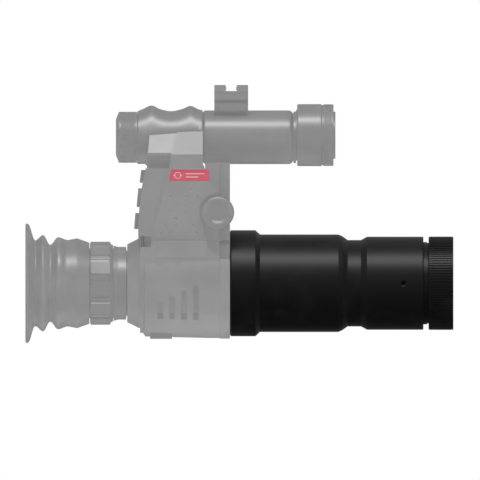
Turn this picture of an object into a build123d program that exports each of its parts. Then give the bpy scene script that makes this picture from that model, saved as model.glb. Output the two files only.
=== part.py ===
from build123d import *

import os
from math import cos, pi, sin, sqrt

# Digital night spotting scope: a camera and display body with an eyepiece at its rear, a screwed-on
# objective at its front and a battery tube with an infrared lamp over it.
# Lengths are in millimetres. +X runs along the optical axis towards the objective, +Z is up, and the
# origin is the mouth of the tripod socket in the foot of the body.

# ---------------------------------------------------------------- fits
seat_gap = 0.03        # round pieces assembled into each other
run_gap = 0.05         # round pieces that turn or slide in each other

# ---------------------------------------------------------------- lower body and its foot
foot_proud = 0.8       # the foot reaches this far below the round underside
body_rear = -9.8
body_front = 27.3
barrel_radius = 25.2   # round underside
barrel_bore = barrel_radius - 3.2
body_half = barrel_radius - 2.2      # flat flanks above the axis
optic_z = barrel_radius + foot_proud # optical axis above the tripod foot
deck_z = optic_z + 20.1              # flat top that carries the tower
torch_radius = 12.55
torch_rise = 55.65     # clear height between the optical axis and the battery tube
torch_z = optic_z + torch_rise + torch_radius
rear_wall = 3.0
window_radius = 15.0   # hole for the display in the rear wall
foot_length = 10.2
foot_width = 19.0
groove_xs = (-0.3, 5.2, 10.75, 16.35)
groove_tops = (16.8, 19.7, 22.3, 24.9)
groove_width = 2.6
groove_foot = 6.6
groove_floor = barrel_radius - 1.8
bush_radius = 4.5
bush_length = 7.6
socket_radius = 2.6    # bore of the 1/4 inch tripod thread
flange_length = 4.9
flange_radius = barrel_radius + 0.7
flange_step_z = optic_z + 11.3       # the flange narrows above this height

# ---------------------------------------------------------------- tower
tower_half = body_half - 2.5
strip_half = tower_half - 1.5        # recessed strip along the front edge
tower_wall = 3.5
tower_rear = -10.65
tower_top = torch_z - torch_radius - 1.95
front_x = body_front + flange_length
strap_slot = (deck_z - 3.2, deck_z + 1.8)
strap_slot_front = -4.7
strap_pin_radius = 0.8
strap_pin_x = -8.6
strap_pin_y = tower_half - 1.1
strap_depth = tower_half - 2.9       # floor of the strap slot from the middle plane
port_x0, port_x1 = 2.0, 15.0
port_z0, port_z1 = optic_z + 2.5, optic_z + 10.5
port_gap = 0.5
port_thickness = 1.6
socket_outer, socket_bore = 3.0, 1.75   # 3.5 mm plug
panel_thickness = 1.5
panel_foot = deck_z + 0.1
fold_z = torch_z - torch_radius + 5.15
cheek_top = torch_z + 2.9
saddle_top = torch_z + 2.7
cheek_half_top = torch_radius + 0.4   # half width between the cheeks at their upper edge
plate_low, plate_high = tower_top - 5.95, tower_top - 0.65
plate_thickness = 0.5

# ---------------------------------------------------------------- visible screws and pins
screw_head = 1.9
screw_sink = 1.4
tower_screw_places = ((23.6, deck_z + 4.5), (23.6, tower_top - 3.5), (-4.6, deck_z + 8.9), (-3.4, tower_top - 4.1))
pin_x, pin_rise, pin_radius = 18.1, 4.2, 1.1
rail_screw_radius = 2.6
rail_screw_sink = 2.4

# ---------------------------------------------------------------- keypad
key_half = 5.5
key_gap = 0.25
keypad_half = 9.0
keypad_low = deck_z + 3.2
keypad_wall = 2.0
board_x = -1.4
dome_height = 1.0
# name, lower end, upper end, outer x at the upper end, outer x at the lower end
keys = (
    ("button_top", tower_top - 6.8, tower_top - 0.8, -9.3, -10.05),
    ("button_middle", deck_z + 15.5, deck_z + 24.3, -10.65, -11.45),
    ("button_bottom", deck_z + 5.2, deck_z + 12.7, -12.0, -12.6),
)

# ---------------------------------------------------------------- side knob and sensor carriage
knob_x, knob_z = 26.5, deck_z + 13.0
knob_radius = 7.7
knob_height = 5.6
knob_dish = 4.9
shaft_radius = 1.5
bush_wall = 1.5
gear_module = 0.4
pinion_teeth = 8
gear_outer = tower_half - tower_wall - 1.0   # distance of the gear faces from the middle plane
gear_inner = gear_outer - 3.5
carriage_travel = 1.1
carriage_x = 15.0
carriage_thick = 3.0
carriage_radius = barrel_bore - 1.5
rod_radius = 1.2
rod_offset = 17.0
guide_plate_x = 23.4
guide_plate_thick = 2.0

# ---------------------------------------------------------------- eyepiece
eye_tube_rear = -46.0
eye_tube_radius = 16.4
eye_tube_bore = eye_tube_radius - 2.4
neck_radius = eye_tube_radius + 0.6
neck_rear = -22.2
neck_front = -16.35
bell_rear = -15.8
bell_radius = neck_radius + 1.2
bell_front_radius = 20.9
spigot_radius = eye_tube_radius - 1.2
diopter_rear = -33.2
diopter_radius = eye_tube_radius + 2.8
diopter_relief = eye_tube_radius + 0.9
cell_rear = -44.0
cell_length = 20.0
cell_bore = eye_tube_bore - 1.4
diopter_travel = 2.0
lug_width = 2.8
lug_length = 2.2
lug_x = -28.3
cup_rear = -63.4
cup_front = -33.5
cup_rim_radius = 28.0

# ---------------------------------------------------------------- objective
base_radius = 24.8
base_length = 11.9
tube_radius = 22.8
tube_length = 38.6
tube_bore = tube_radius - 3.4
barrel_length = 37.8    # front barrel, from its rear seam to the neck
waist_radius = 20.2
front_radius = 21.75
front_bore = 16.6
neck_step = 2.4
lens_neck_radius = 19.25
ring_radius = 21.8
ring_length = 11.6
ring_thread_radius = 18.0
filter_radius = 18.6
lens_seat = 15.6
rear_seat = 14.2
focus_travel = 1.4
cell_neck_inset = 3.4   # how far the neck reaches into the ring past its rear face
guide_inset = 9.3       # the guide screw sits this far behind the neck
guide_radius = 1.0

# ---------------------------------------------------------------- battery tube and lamp
torch_bore = torch_radius - 3.05
grip_rear = -11.1
grip_front = 19.5
grip_core_radius = torch_radius - 1.8
torch_front = 61.9
cap_radius = torch_radius - 0.55
cap_length = 9.9
cap_wall = 3.0
battery_radius = torch_bore - 0.3
battery_length = 65.0
battery_rear = -9.0
head_rise = 1.0
head_radius = torch_radius + 1.95
head_length = 17.0
head_gap = 0.5
bezel_radius = torch_radius - 1.55
bezel_proud = 0.9

# ---------------------------------------------------------------- accessory rail
rail_rear = 24.9
rail_length = 15.8
rail_height = 11.9
rail_half_top = 7.8
rail_half = 10.6
rail_slot = 5.23
rail_slot_depth = 2.85


def outline(*points):
    """Closed straight-sided face in the lengthwise plane; points are (x, z)."""
    with BuildSketch(Plane.XZ) as face:
        with BuildLine():
            Polyline(*points, close=True)
        make_face()
    return face.sketch


def cross(x, *points):
    """Closed straight-sided face across the length at x; points are (y, z)."""
    with BuildSketch(Plane.YZ.offset(x)) as face:
        with BuildLine():
            Polyline(*points, close=True)
        make_face()
    return face.sketch


def lengthwise(height):
    """Axis along +X at a height over the foot."""
    return Axis((0, 0, height), (1, 0, 0))


def turn(height, *points, mode=Mode.ADD):
    """Turn a closed (x, radius) outline about the lengthwise axis at a height."""
    revolve(outline(*[(x, height + r) for x, r in points]), axis=lengthwise(height), mode=mode)


def round_bar(height, x0, x1, radius, mode=Mode.ADD):
    """Solid bar along the lengthwise axis at a height."""
    turn(height, (x0, 0), (x1, 0), (x1, radius), (x0, radius), mode=mode)


def slab(x0, x1, y0, y1, z0, z1, mode=Mode.ADD):
    """Box between two corners."""
    with Locations(((x0 + x1) / 2, (y0 + y1) / 2, (z0 + z1) / 2)):
        Box(x1 - x0, y1 - y0, z1 - z0, mode=mode)


def slab_between(x0, x1, y0, y1, z0, z1, mode=Mode.ADD):
    """Box between two corners whose y values may come in either order."""
    slab(x0, x1, min(y0, y1), max(y0, y1), z0, z1, mode=mode)


def bar_along(x0, x1, y, z, radius, mode=Mode.ADD):
    """Round bar along +X through (y, z)."""
    with Locations(Location(((x0 + x1) / 2, y, z), (0, 90, 0))):
        Cylinder(radius, x1 - x0, mode=mode)


def cross_pin(x, z, y0, y1, radius, mode=Mode.ADD):
    """Round pin across the width, from y0 to y1."""
    with Locations(Location((x, (y0 + y1) / 2, z), (90, 0, 0))):
        Cylinder(radius, abs(y1 - y0), mode=mode)


def upright_pin(x, y, z0, z1, radius, mode=Mode.ADD):
    """Upright round pin from z0 to z1."""
    with Locations((x, y, (z0 + z1) / 2)):
        Cylinder(radius, z1 - z0, mode=mode)


def lens(height, x_back, x_front, radius, bulge_back, bulge_front):
    """Turn a lens between two x values; each face is flat or a shallow sphere of the given depth."""
    def half_way(x, towards, bulge):
        ball = (radius ** 2 + bulge ** 2) / (2 * bulge)
        return (x + towards * (ball - sqrt(ball ** 2 - radius ** 2 / 4)), height + radius / 2)

    back, front = x_back + bulge_back, x_front - bulge_front
    with BuildSketch(Plane.XZ) as face:
        with BuildLine():
            Line((front, height + radius), (back, height + radius))
            if bulge_back:
                ThreePointArc((back, height + radius), half_way(x_back, 1, bulge_back), (x_back, height))
            else:
                Line((back, height + radius), (x_back, height))
            Line((x_back, height), (x_front, height))
            if bulge_front:
                ThreePointArc((x_front, height), half_way(x_front, -1, bulge_front), (front, height + radius))
            else:
                Line((x_front, height), (front, height + radius))
        make_face()
    revolve(face.sketch, axis=lengthwise(height))


def write(name, part):
    """Label one finished piece and write it to its own file."""
    part.label = name
    export_step(part, f"parts/{name}.step")


os.makedirs("parts", exist_ok=True)

# ================================================================ lower body
rear_inner = body_rear + rear_wall
socket_x, socket_z = (port_x0 + port_x1) / 2, (port_z0 + port_z1) / 2
pocket_rim = ((21.5, deck_z), (21.5, deck_z - 2.8), (23.8, deck_z - 5.6), (body_front, deck_z - 7.0),
              (body_front, deck_z))
rod_rear = body_rear + rear_wall / 2

with BuildPart() as lower_body:
    turn(optic_z, (body_rear, 0), (body_rear, barrel_radius - 2.0), (body_rear + 1.4, barrel_radius - 2.0),
         (body_rear + 2.4, barrel_radius - 0.3), (body_front - 5, barrel_radius + 0.4),
         (body_front, barrel_radius + 0.4), (body_front, 0))
    slab(body_rear, body_front, -body_half, body_half, optic_z, deck_z)
    for side in (-1, 1):
        for x, top in zip(groove_xs, groove_tops):
            slab_between(x - groove_width / 2, x + groove_width / 2, side * groove_floor * 0.8,
                         side * barrel_radius * 1.2, groove_foot, top, mode=Mode.SUBTRACT)
    round_bar(optic_z, rear_inner, body_front, groove_floor)
    slab(body_rear, body_front, -barrel_radius * 2, barrel_radius * 2, deck_z, deck_z + barrel_radius,
         mode=Mode.SUBTRACT)
    for side in (-1, 1):
        with BuildSketch(Plane.XZ.offset(-side * tower_half)) as pocket:
            with BuildLine():
                Polyline(*pocket_rim, close=True)
            make_face()
        extrude(pocket.sketch, amount=-side * barrel_radius, mode=Mode.SUBTRACT)
    slab(-foot_length / 2, foot_length / 2, -foot_width / 2, foot_width / 2, 0, optic_z - barrel_bore)
    round_bar(optic_z, rear_inner, body_front, barrel_bore, mode=Mode.SUBTRACT)
    round_bar(optic_z, body_rear, rear_inner, window_radius, mode=Mode.SUBTRACT)
    upright_pin(0, 0, 2.0, bush_length + 1.5, bush_radius + 2.5)
    upright_pin(0, 0, 0, bush_length, bush_radius + seat_gap, mode=Mode.SUBTRACT)
    for side in (-1, 1):
        slab_between(12.0, body_front, side * 8.0, side * (tower_half - tower_wall), optic_z + 12, deck_z,
                     mode=Mode.SUBTRACT)
        slab_between(body_rear, strap_slot_front, side * strap_depth, side * body_half, strap_slot[0], deck_z,
                     mode=Mode.SUBTRACT)
        upright_pin(strap_pin_x, side * strap_pin_y, strap_slot[0] - 1.5, strap_slot[0],
                    strap_pin_radius + seat_gap, mode=Mode.SUBTRACT)
        bar_along(rod_rear, rear_inner, side * rod_offset, optic_z, rod_radius + seat_gap, mode=Mode.SUBTRACT)
    slab(port_x0 - port_gap, port_x1 + port_gap, body_half, barrel_radius + 2, port_z0 - port_gap,
         port_z1 + port_gap, mode=Mode.SUBTRACT)
    cross_pin(socket_x, socket_z, barrel_bore - 6, body_half, socket_outer + seat_gap, mode=Mode.SUBTRACT)
write("lower_body", lower_body.part)

with BuildPart() as tripod_bush:
    upright_pin(0, 0, 0, bush_length, bush_radius)
    upright_pin(0, 0, 0, bush_length - 1.2, socket_radius, mode=Mode.SUBTRACT)
write("tripod_bush", tripod_bush.part)

# ---------------------------------------------------------------- flange between body and objective
with BuildPart() as front_flange:
    round_bar(optic_z, body_front, front_x, flange_radius)
    slab(body_front, front_x, -body_half - 0.3, body_half + 0.3, optic_z, flange_step_z)
    for side in (-1, 1):
        slab(body_front, front_x, side * (strip_half + 10) - 10, side * (strip_half + 10) + 10,
             flange_step_z, deck_z + 10, mode=Mode.SUBTRACT)
    slab(body_front, front_x, -flange_radius, flange_radius, deck_z, deck_z + flange_radius,
         mode=Mode.SUBTRACT)
    round_bar(optic_z, body_front, front_x, tube_bore + seat_gap, mode=Mode.SUBTRACT)
write("front_flange", front_flange.part)

# ================================================================ tower
rear_line = ((deck_z, tower_rear), (deck_z + 4.4, tower_rear), (deck_z + 14.5, -10.2), (deck_z + 25.8, -8.8),
             (tower_top, -7.2))


def rear_face(height):
    """x of the tower's rear face at a height."""
    for (z0, x0), (z1, x1) in zip(rear_line, rear_line[1:]):
        if height <= z1:
            return x0 + (x1 - x0) * (height - z0) / (z1 - z0)
    return rear_line[-1][1]


def rear_wall_band(low, high, depth):
    """Outline of the rear wall between two heights, from its outer face to a depth."""
    levels = [low] + [z for z, x in rear_line if low < z < high] + [high]
    return [(rear_face(z), z) for z in levels] + [(rear_face(z) + depth, z) for z in reversed(levels)]


step_x = 20.6          # the front of the tower rises to the battery tube from here
step_top = torch_z - torch_radius + 0.75
roof = 2.4
front_wall = 1.8
tower_outline = [(x, z) for z, x in rear_line] + [(step_x, tower_top), (step_x, step_top), (front_x, step_top),
                                                 (front_x, deck_z)]
cavity_top = tower_top - roof
tower_cavity = [(rear_face(z) + keypad_wall, z) for z in [z for z, x in rear_line[:-1]] + [cavity_top]]
tower_cavity += [(front_x - front_wall, cavity_top), (front_x - front_wall, deck_z)]
keypad_outline = rear_wall_band(keypad_low, tower_top, keypad_wall)
relief_low = keys[0][1] - 2.9   # the roof is thinned behind the keypad above this height


def key_middle(key):
    """Middle height of one push button."""
    return (key[1] + key[2]) / 2


def tower_shell(side):
    """Hollow half of the tower on one side of the middle plane."""
    with BuildPart() as shell:
        extrude(outline(*tower_outline), amount=tower_half, both=True)
        slab(body_front, front_x + 1, strip_half, tower_half + 5, deck_z, torch_z, mode=Mode.SUBTRACT)
        slab(body_front, front_x + 1, -tower_half - 5, -strip_half, deck_z, torch_z, mode=Mode.SUBTRACT)
        extrude(outline(*tower_cavity), amount=tower_half - tower_wall, both=True, mode=Mode.SUBTRACT)
        extrude(outline(*keypad_outline), amount=keypad_half, both=True, mode=Mode.SUBTRACT)
        slab(rear_face(relief_low), board_x + 1.6, -keypad_half - 0.4, keypad_half + 0.4, relief_low,
             tower_top - 0.5, mode=Mode.SUBTRACT)
        round_bar(torch_z, step_x - 2.6, front_x + 1, torch_radius + seat_gap, mode=Mode.SUBTRACT)
        slab_between(tower_rear, strap_slot_front, side * strap_depth, side * tower_half, deck_z, strap_slot[1],
                     mode=Mode.SUBTRACT)
        upright_pin(strap_pin_x, side * strap_pin_y, strap_slot[1], strap_slot[1] + 1.5,
                    strap_pin_radius + seat_gap, mode=Mode.SUBTRACT)
        round_bar(optic_z, tower_rear, body_rear, bell_front_radius + seat_gap, mode=Mode.SUBTRACT)
        slab_between(tower_rear, front_x, 0, -side * tower_half, deck_z, torch_z, mode=Mode.SUBTRACT)
        if side < 0:
            cross_pin(knob_x, knob_z, -tower_half - 1, -gear_outer, shaft_radius + bush_wall + seat_gap,
                      mode=Mode.SUBTRACT)
        else:
            for x, z in tower_screw_places:
                cross_pin(x, z, tower_half - screw_sink, tower_half + 1, screw_head + seat_gap, mode=Mode.SUBTRACT)
    return shell.part


write("tower_left", tower_shell(-1))
write("tower_right", tower_shell(1))

with BuildPart() as strap_pins:
    for side in (-1, 1):
        upright_pin(strap_pin_x, side * strap_pin_y, strap_slot[0] - 1.4, strap_slot[1] + 1.4, strap_pin_radius)
write("strap_pins", strap_pins.part)

# ---------------------------------------------------------------- keypad
with BuildPart() as keypad_panel:
    extrude(outline(*keypad_outline), amount=keypad_half - seat_gap, both=True)
    for key in keys:
        slab(tower_rear - 2, board_x, -key_half - key_gap, key_half + key_gap, key[1] - key_gap,
             key[2] + key_gap, mode=Mode.SUBTRACT)
write("keypad_panel", keypad_panel.part)


for name, low, high, upper_x, lower_x in keys:
    middle = (low + high) / 2
    flange_x = rear_face(high + 0.7) + keypad_wall + 0.3
    with BuildPart() as button:
        extrude(outline((lower_x, low), (upper_x, high), (flange_x, high), (flange_x, low)),
                amount=key_half, both=True)
        fillet(button.edges().filter_by(Axis.Y).group_by(Axis.X)[0], radius=0.5)
        fillet(button.edges().filter_by(Axis.X), radius=1.2)
        slab(flange_x, flange_x + 0.8, -key_half - 0.9, key_half + 0.9, low - 0.6,
             min(high + 0.6, tower_top - 0.6))
        with Locations(Location(((flange_x + board_x - dome_height - 0.7) / 2, 0, middle), (0, 90, 0))):
            Cylinder(1.6, board_x - dome_height - 0.7 - flange_x)
    write(name, button.part)

with BuildPart() as switch_board:
    slab(board_x, board_x + 1.2, -keypad_half, keypad_half, keypad_low + 0.7, tower_top - 0.8)
with BuildPart() as switch_domes:
    for key in keys:
        with Locations(Location((board_x - dome_height / 2, 0, key_middle(key)), (0, -90, 0))):
            Cone(2.6, 1.8, dome_height)
write("switch_board", Compound(children=[switch_board.part, switch_domes.part]))

with BuildPart() as main_board:
    slab(2.0, 22.0, 9.0, 10.6, deck_z + 5.9, tower_top - 4.0)
    slab(5.0, 12.0, 7.4, 9.0, deck_z + 13.9, deck_z + 20.9)
    slab(13.0, 19.0, 7.8, 9.0, deck_z + 8.9, deck_z + 12.9)
with BuildPart() as board_posts:
    for x, z in ((x, z) for x in (4.0, 20.0) for z in (deck_z + 7.9, tower_top - 6.2)):
        cross_pin(x, z, 10.6, tower_half - tower_wall, 1.5)
write("main_board", Compound(children=[main_board.part, board_posts.part]))

# ---------------------------------------------------------------- torch saddle and shields
tray_z = tower_top + 1.4   # underside of the saddle's rear end
tray_half = tower_half - 4.5
cheek_slope = (tower_half - 1.0 - cheek_half_top) / (cheek_top - fold_z)


def cheek_half(height, proud):
    """Half width of the folded cheeks at a height, with a plate of the given thickness on them."""
    return tower_half - 1.0 + proud - cheek_slope * (height - fold_z)


over_saddle = torch_z + torch_radius   # clear above the saddle
with BuildPart() as saddle:
    extrude(outline((-7.4, tray_z), (-6.45, tray_z + 5.0), (-5.5, torch_z + 1.1), (7.2, torch_z + 2.1),
                    (grip_front, saddle_top), (grip_front, tower_top), (5.0, tower_top), (4.6, tray_z)),
            amount=tower_half, both=True)
    extrude(outline((-6.6, tower_top), (-6.6, tray_z), (5.0, tray_z), (5.0, tower_top)), amount=tray_half,
            both=True)
    for side in (-1, 1):
        edge = side * tower_half
        extrude(cross(-10, (side * cheek_half(fold_z, 0), fold_z), (side * 40, fold_z), (side * 40, over_saddle),
                      (side * cheek_half(over_saddle, 0), over_saddle)), amount=45, mode=Mode.SUBTRACT)
        slab(-10, grip_front, edge - side * 1.0 - 5 + side * 5, edge - side * 1.0 + 5 + side * 5,
             tower_top - 1, fold_z, mode=Mode.SUBTRACT)
        slab(-10, 4.6, side * tray_half - 5 + side * 5, side * tray_half + 5 + side * 5, tower_top - 1,
             fold_z - 1.1, mode=Mode.SUBTRACT)
    round_bar(torch_z, -12, grip_front + 1, torch_radius + seat_gap, mode=Mode.SUBTRACT)
write("saddle", saddle.part)

shield_outline = (
    (7.5, torch_z + 2.4), (4.7, fold_z - 0.5), (3.7, tower_top - 0.2), (-0.9, knob_z + 2.0),
    (-4.7, panel_foot + 1.8), (-4.7, panel_foot), (21.0, panel_foot), (19.6, knob_z - 5.9), (24.6, knob_z + 6.9),
    (26.9, knob_z + 9.3), (26.9, knob_z + 11.1), (22.7, plate_low - 0.05), (19.5, step_top - 0.3),
    (19.4, cheek_top),
)
plate_outline = ((4.7, plate_high), (22.6, plate_high), (22.7, plate_low), (3.7, plate_low))


def shield(side):
    """Folded side shield: an upright plate with its upper end bent in along the cheek."""
    with BuildPart() as plate:
        inner, outer = tower_half, tower_half + panel_thickness
        extrude(cross(-12, (side * inner, panel_foot), (side * outer, panel_foot), (side * outer, fold_z - 0.6),
                      (side * cheek_half(cheek_top, panel_thickness), cheek_top),
                      (side * cheek_half(cheek_top, 0), cheek_top), (side * cheek_half(fold_z, 0), fold_z),
                      (side * (tower_half - 1.0), tower_top), (side * inner, tower_top)), amount=45)
        extrude(outline(*shield_outline), amount=60, both=True, mode=Mode.INTERSECT)
        extrude(outline(*plate_outline), amount=-side * outer, mode=Mode.SUBTRACT)
        if side < 0:
            cross_pin(knob_x, knob_z, -outer - 1, -inner + 1, knob_radius + 1.0, mode=Mode.SUBTRACT)
        slab(-12, 40, -side * 15 - 15, -side * 15 + 15, panel_foot - 5, cheek_top + 5, mode=Mode.SUBTRACT)
    return plate.part


def nameplate(side):
    """Blank coloured plate let into a shield."""
    with BuildPart() as plate:
        low, high = tower_half, tower_half + plate_thickness + 0.4
        extrude(outline(*plate_outline), amount=-side * high)
        slab(0, 30, side * low / 2 - low / 2, side * low / 2 + low / 2, plate_low - 1, plate_high + 1,
             mode=Mode.SUBTRACT)
    return plate.part


for side, word in ((-1, "left"), (1, "right")):
    write(f"side_shield_{word}", shield(side))
write("nameplates", Compound(children=[nameplate(-1), nameplate(1)]))

# ---------------------------------------------------------------- service port on the right flank
with BuildPart() as port_cover:
    slab(port_x0, port_x1, body_half + 0.1, body_half + port_thickness, port_z0, port_z1)
    fillet(port_cover.edges().filter_by(Axis.Y).group_by(Axis.X)[-1], radius=1.6)
write("port_cover", port_cover.part)
with BuildPart() as video_socket:
    cross_pin(socket_x, socket_z, barrel_bore - 10, body_half - 0.3, socket_outer)
    cross_pin(socket_x, socket_z, barrel_bore - 9, body_half, socket_bore, mode=Mode.SUBTRACT)
write("video_socket", video_socket.part)

# ================================================================ rear bell and eyepiece
with BuildPart() as rear_bell:
    turn(optic_z, (bell_rear, spigot_radius + seat_gap), (bell_rear, bell_radius),
         (body_rear - 0.6, bell_front_radius), (body_rear, bell_front_radius),
         (body_rear, spigot_radius + seat_gap))
write("rear_bell", rear_bell.part)

tube_slot = (lug_x - lug_length / 2 - diopter_travel - 0.2, lug_x + lug_length / 2 + diopter_travel + 0.2)
with BuildPart() as eyepiece_tube:
    turn(optic_z, (eye_tube_rear, eye_tube_bore), (eye_tube_rear, eye_tube_radius), (neck_rear, eye_tube_radius),
         (neck_rear, neck_radius + 0.6), (neck_rear + 2.1, neck_radius), (neck_front, neck_radius),
         (neck_front + 0.2, spigot_radius), (body_rear - 0.3, spigot_radius), (body_rear - 0.3, eye_tube_bore))
    slab(*tube_slot, -lug_width / 2 - 0.1, lug_width / 2 + 0.1, optic_z - 1.5 * eye_tube_radius,
         optic_z + 1.5 * eye_tube_radius, mode=Mode.SUBTRACT)
write("eyepiece_tube", eyepiece_tube.part)

diopter_front = neck_rear - 0.2
with BuildPart() as diopter_ring:
    turn(optic_z, (diopter_rear, eye_tube_radius + run_gap), (diopter_rear, diopter_radius),
         (diopter_front - 1.2, diopter_radius), (diopter_front, diopter_radius - 1.2),
         (diopter_front, eye_tube_radius + run_gap), (tube_slot[1] + 0.4, eye_tube_radius + run_gap),
         (tube_slot[1] + 0.4, diopter_relief), (tube_slot[0] - 0.4, diopter_relief),
         (tube_slot[0] - 0.4, eye_tube_radius + run_gap))
write("diopter_ring", diopter_ring.part)

with BuildPart() as eyepiece_cell:
    turn(optic_z, (cell_rear, cell_bore), (cell_rear, eye_tube_bore - run_gap),
         (cell_rear + cell_length, eye_tube_bore - run_gap), (cell_rear + cell_length, cell_bore))
    slab(lug_x - lug_length / 2, lug_x + lug_length / 2, -lug_width / 2, lug_width / 2,
         optic_z - diopter_relief + 0.4, optic_z + diopter_relief - 0.4)
    round_bar(optic_z, cell_rear, cell_rear + cell_length, cell_bore, mode=Mode.SUBTRACT)
write("eyepiece_cell", eyepiece_cell.part)

eye_glass = cell_bore - seat_gap
with BuildPart() as eye_lens:
    lens(optic_z, cell_rear + 0.6, cell_rear + 7.0, eye_glass, 1.9, 1.9)
write("eye_lens", eye_lens.part)
with BuildPart() as eyepiece_spacer:
    turn(optic_z, (cell_rear + 5.35, cell_bore - 0.8), (cell_rear + 5.35, eye_glass), (cell_rear + 12.0, eye_glass),
         (cell_rear + 12.0, cell_bore - 1.6), (cell_rear + 6.4, cell_bore - 1.6))
write("eyepiece_spacer", eyepiece_spacer.part)
with BuildPart() as field_lens:
    lens(optic_z, cell_rear + 12.0, cell_rear + 16.8, eye_glass, 0, 1.6)
write("field_lens", field_lens.part)
with BuildPart() as eyepiece_retainer:
    turn(optic_z, (cell_rear + 15.45, cell_bore - 0.8), (cell_rear + 15.45, eye_glass),
         (cell_rear + 18.0, eye_glass), (cell_rear + 18.0, cell_bore - 1.6), (cell_rear + 16.4, cell_bore - 1.6))
write("eyepiece_retainer", eyepiece_retainer.part)

cup_outer = (
    (cup_rear + 1.3, cup_rim_radius), (cup_rear + 2.8, cup_rim_radius - 3.6),
    (cup_rear + 4.5, eye_tube_radius + 3.7), (cup_rear + 8.4, eye_tube_radius + 6.1),
    (cup_rear + 11.5, eye_tube_radius + 1.6), (eye_tube_rear - 1.9, eye_tube_radius + 5.1),
    (eye_tube_rear + 2.5, eye_tube_radius + 3.8), (cup_front - 5.8, eye_tube_radius + 4.6),
    (cup_front - 2.9, eye_tube_radius + 3.8), (cup_front, eye_tube_radius + 2.6),
)
cup_inner = (
    (eye_tube_rear - 0.4, eye_tube_radius + 1.2), (eye_tube_rear - 2.2, eye_tube_radius + 2.9),
    (eye_tube_rear - 4.2, eye_tube_radius + 1.9), (cup_rear + 11.5, eye_tube_radius),
    (cup_rear + 9.8, eye_tube_radius + 2.2), (cup_rear + 8.2, eye_tube_radius + 4.1),
    (cup_rear + 6.0, eye_tube_radius + 2.6), (cup_rear + 3.8, eye_tube_radius + 3.0),
    (cup_rear + 2.0, cup_rim_radius - 3.4), (cup_rear, cup_rim_radius - 1.4),
)
with BuildPart() as eyecup:
    with BuildSketch(Plane.XZ) as cup_section:
        with BuildLine():
            Spline(*[(x, optic_z + r) for x, r in cup_outer])
            Polyline((cup_front, optic_z + cup_outer[-1][1]), (cup_front, optic_z + eye_tube_radius + seat_gap),
                     (eye_tube_rear, optic_z + eye_tube_radius + seat_gap),
                     (eye_tube_rear - 0.4, optic_z + eye_tube_radius + seat_gap),
                     (eye_tube_rear - 0.4, optic_z + cup_inner[0][1]))
            Polyline(*[(x, optic_z + r) for x, r in cup_inner])
            Polyline((cup_rear, optic_z + cup_inner[-1][1]), (cup_rear, optic_z + cup_rim_radius - 0.7),
                     (cup_rear + 0.4, optic_z + cup_rim_radius), (cup_rear + 1.3, optic_z + cup_rim_radius))
        make_face()
    revolve(axis=lengthwise(optic_z))
write("eyecup", eyecup.part)

with BuildPart() as display_board:
    slab(rear_inner, rear_inner + 1.4, -12.8, 12.8, optic_z - 11, optic_z + 11)
write("display_board", display_board.part)
with BuildPart() as display_panel:
    slab(rear_inner - 2.2, rear_inner, -8.0, 8.0, optic_z - 6.4, optic_z + 6.4)
write("display_panel", display_panel.part)

# ================================================================ sensor carriage, rods and side knob
pitch_radius = gear_module * pinion_teeth / 2
rack_pitch_z = knob_z - pitch_radius
tooth_pitch = pi * gear_module
rack_half = carriage_travel + 1.4
rack_root = rack_pitch_z - 0.5
rack_foot = rack_root - 1.6

carriage_front = carriage_x + carriage_thick
rack_teeth = int(rack_half / tooth_pitch)
with BuildPart() as sensor_carriage:
    extrude(outline((carriage_x, optic_z + 10), (carriage_front, optic_z + 10), (carriage_front, deck_z - 1.6),
                    (knob_x + rack_half, rack_foot), (knob_x + rack_half, rack_root),
                    (knob_x - rack_half, rack_root), (knob_x - rack_half, rack_foot + 0.4), (carriage_x, deck_z + 0.9)),
            amount=gear_outer)
    for n in range(-rack_teeth, rack_teeth + 1):
        x = knob_x + n * tooth_pitch
        extrude(outline((x - 0.40, rack_root), (x + 0.40, rack_root), (x + 0.18, rack_pitch_z + 0.2),
                        (x - 0.18, rack_pitch_z + 0.2)), amount=gear_outer)
    slab(carriage_x, knob_x + rack_half, -gear_inner, 0, optic_z, knob_z, mode=Mode.SUBTRACT)
    round_bar(optic_z, carriage_x, carriage_front, carriage_radius)
    round_bar(optic_z, carriage_x, carriage_front, 6.0, mode=Mode.SUBTRACT)
    for side in (-1, 1):
        bar_along(carriage_x, carriage_front, side * rod_offset, optic_z, rod_radius + run_gap, mode=Mode.SUBTRACT)
write("sensor_carriage", sensor_carriage.part)

with BuildPart() as sensor_board:
    slab(carriage_front, carriage_front + 1.4, -12.5, 12.5, optic_z - 12.5, optic_z + 12.5)
write("sensor_board", sensor_board.part)
with BuildPart() as image_sensor:
    slab(carriage_front + 1.4, carriage_front + 2.8, -6.5, 6.5, optic_z - 5.0, optic_z + 5.0)
write("image_sensor", image_sensor.part)

guide_plate_front = guide_plate_x + guide_plate_thick
with BuildPart() as guide_rods:
    for side in (-1, 1):
        bar_along(rod_rear, guide_plate_front, side * rod_offset, optic_z, rod_radius)
write("guide_rods", guide_rods.part)

with BuildPart() as guide_plate:
    round_bar(optic_z, guide_plate_x, guide_plate_front, barrel_bore - seat_gap)
    round_bar(optic_z, guide_plate_x, guide_plate_front, 14.0, mode=Mode.SUBTRACT)
    slab(guide_plate_x, guide_plate_front, -barrel_bore, barrel_bore, optic_z + 12, optic_z + barrel_bore,
         mode=Mode.SUBTRACT)
    for side in (-1, 1):
        bar_along(guide_plate_x, guide_plate_front, side * rod_offset, optic_z, rod_radius + seat_gap,
                  mode=Mode.SUBTRACT)
write("guide_plate", guide_plate.part)

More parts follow.
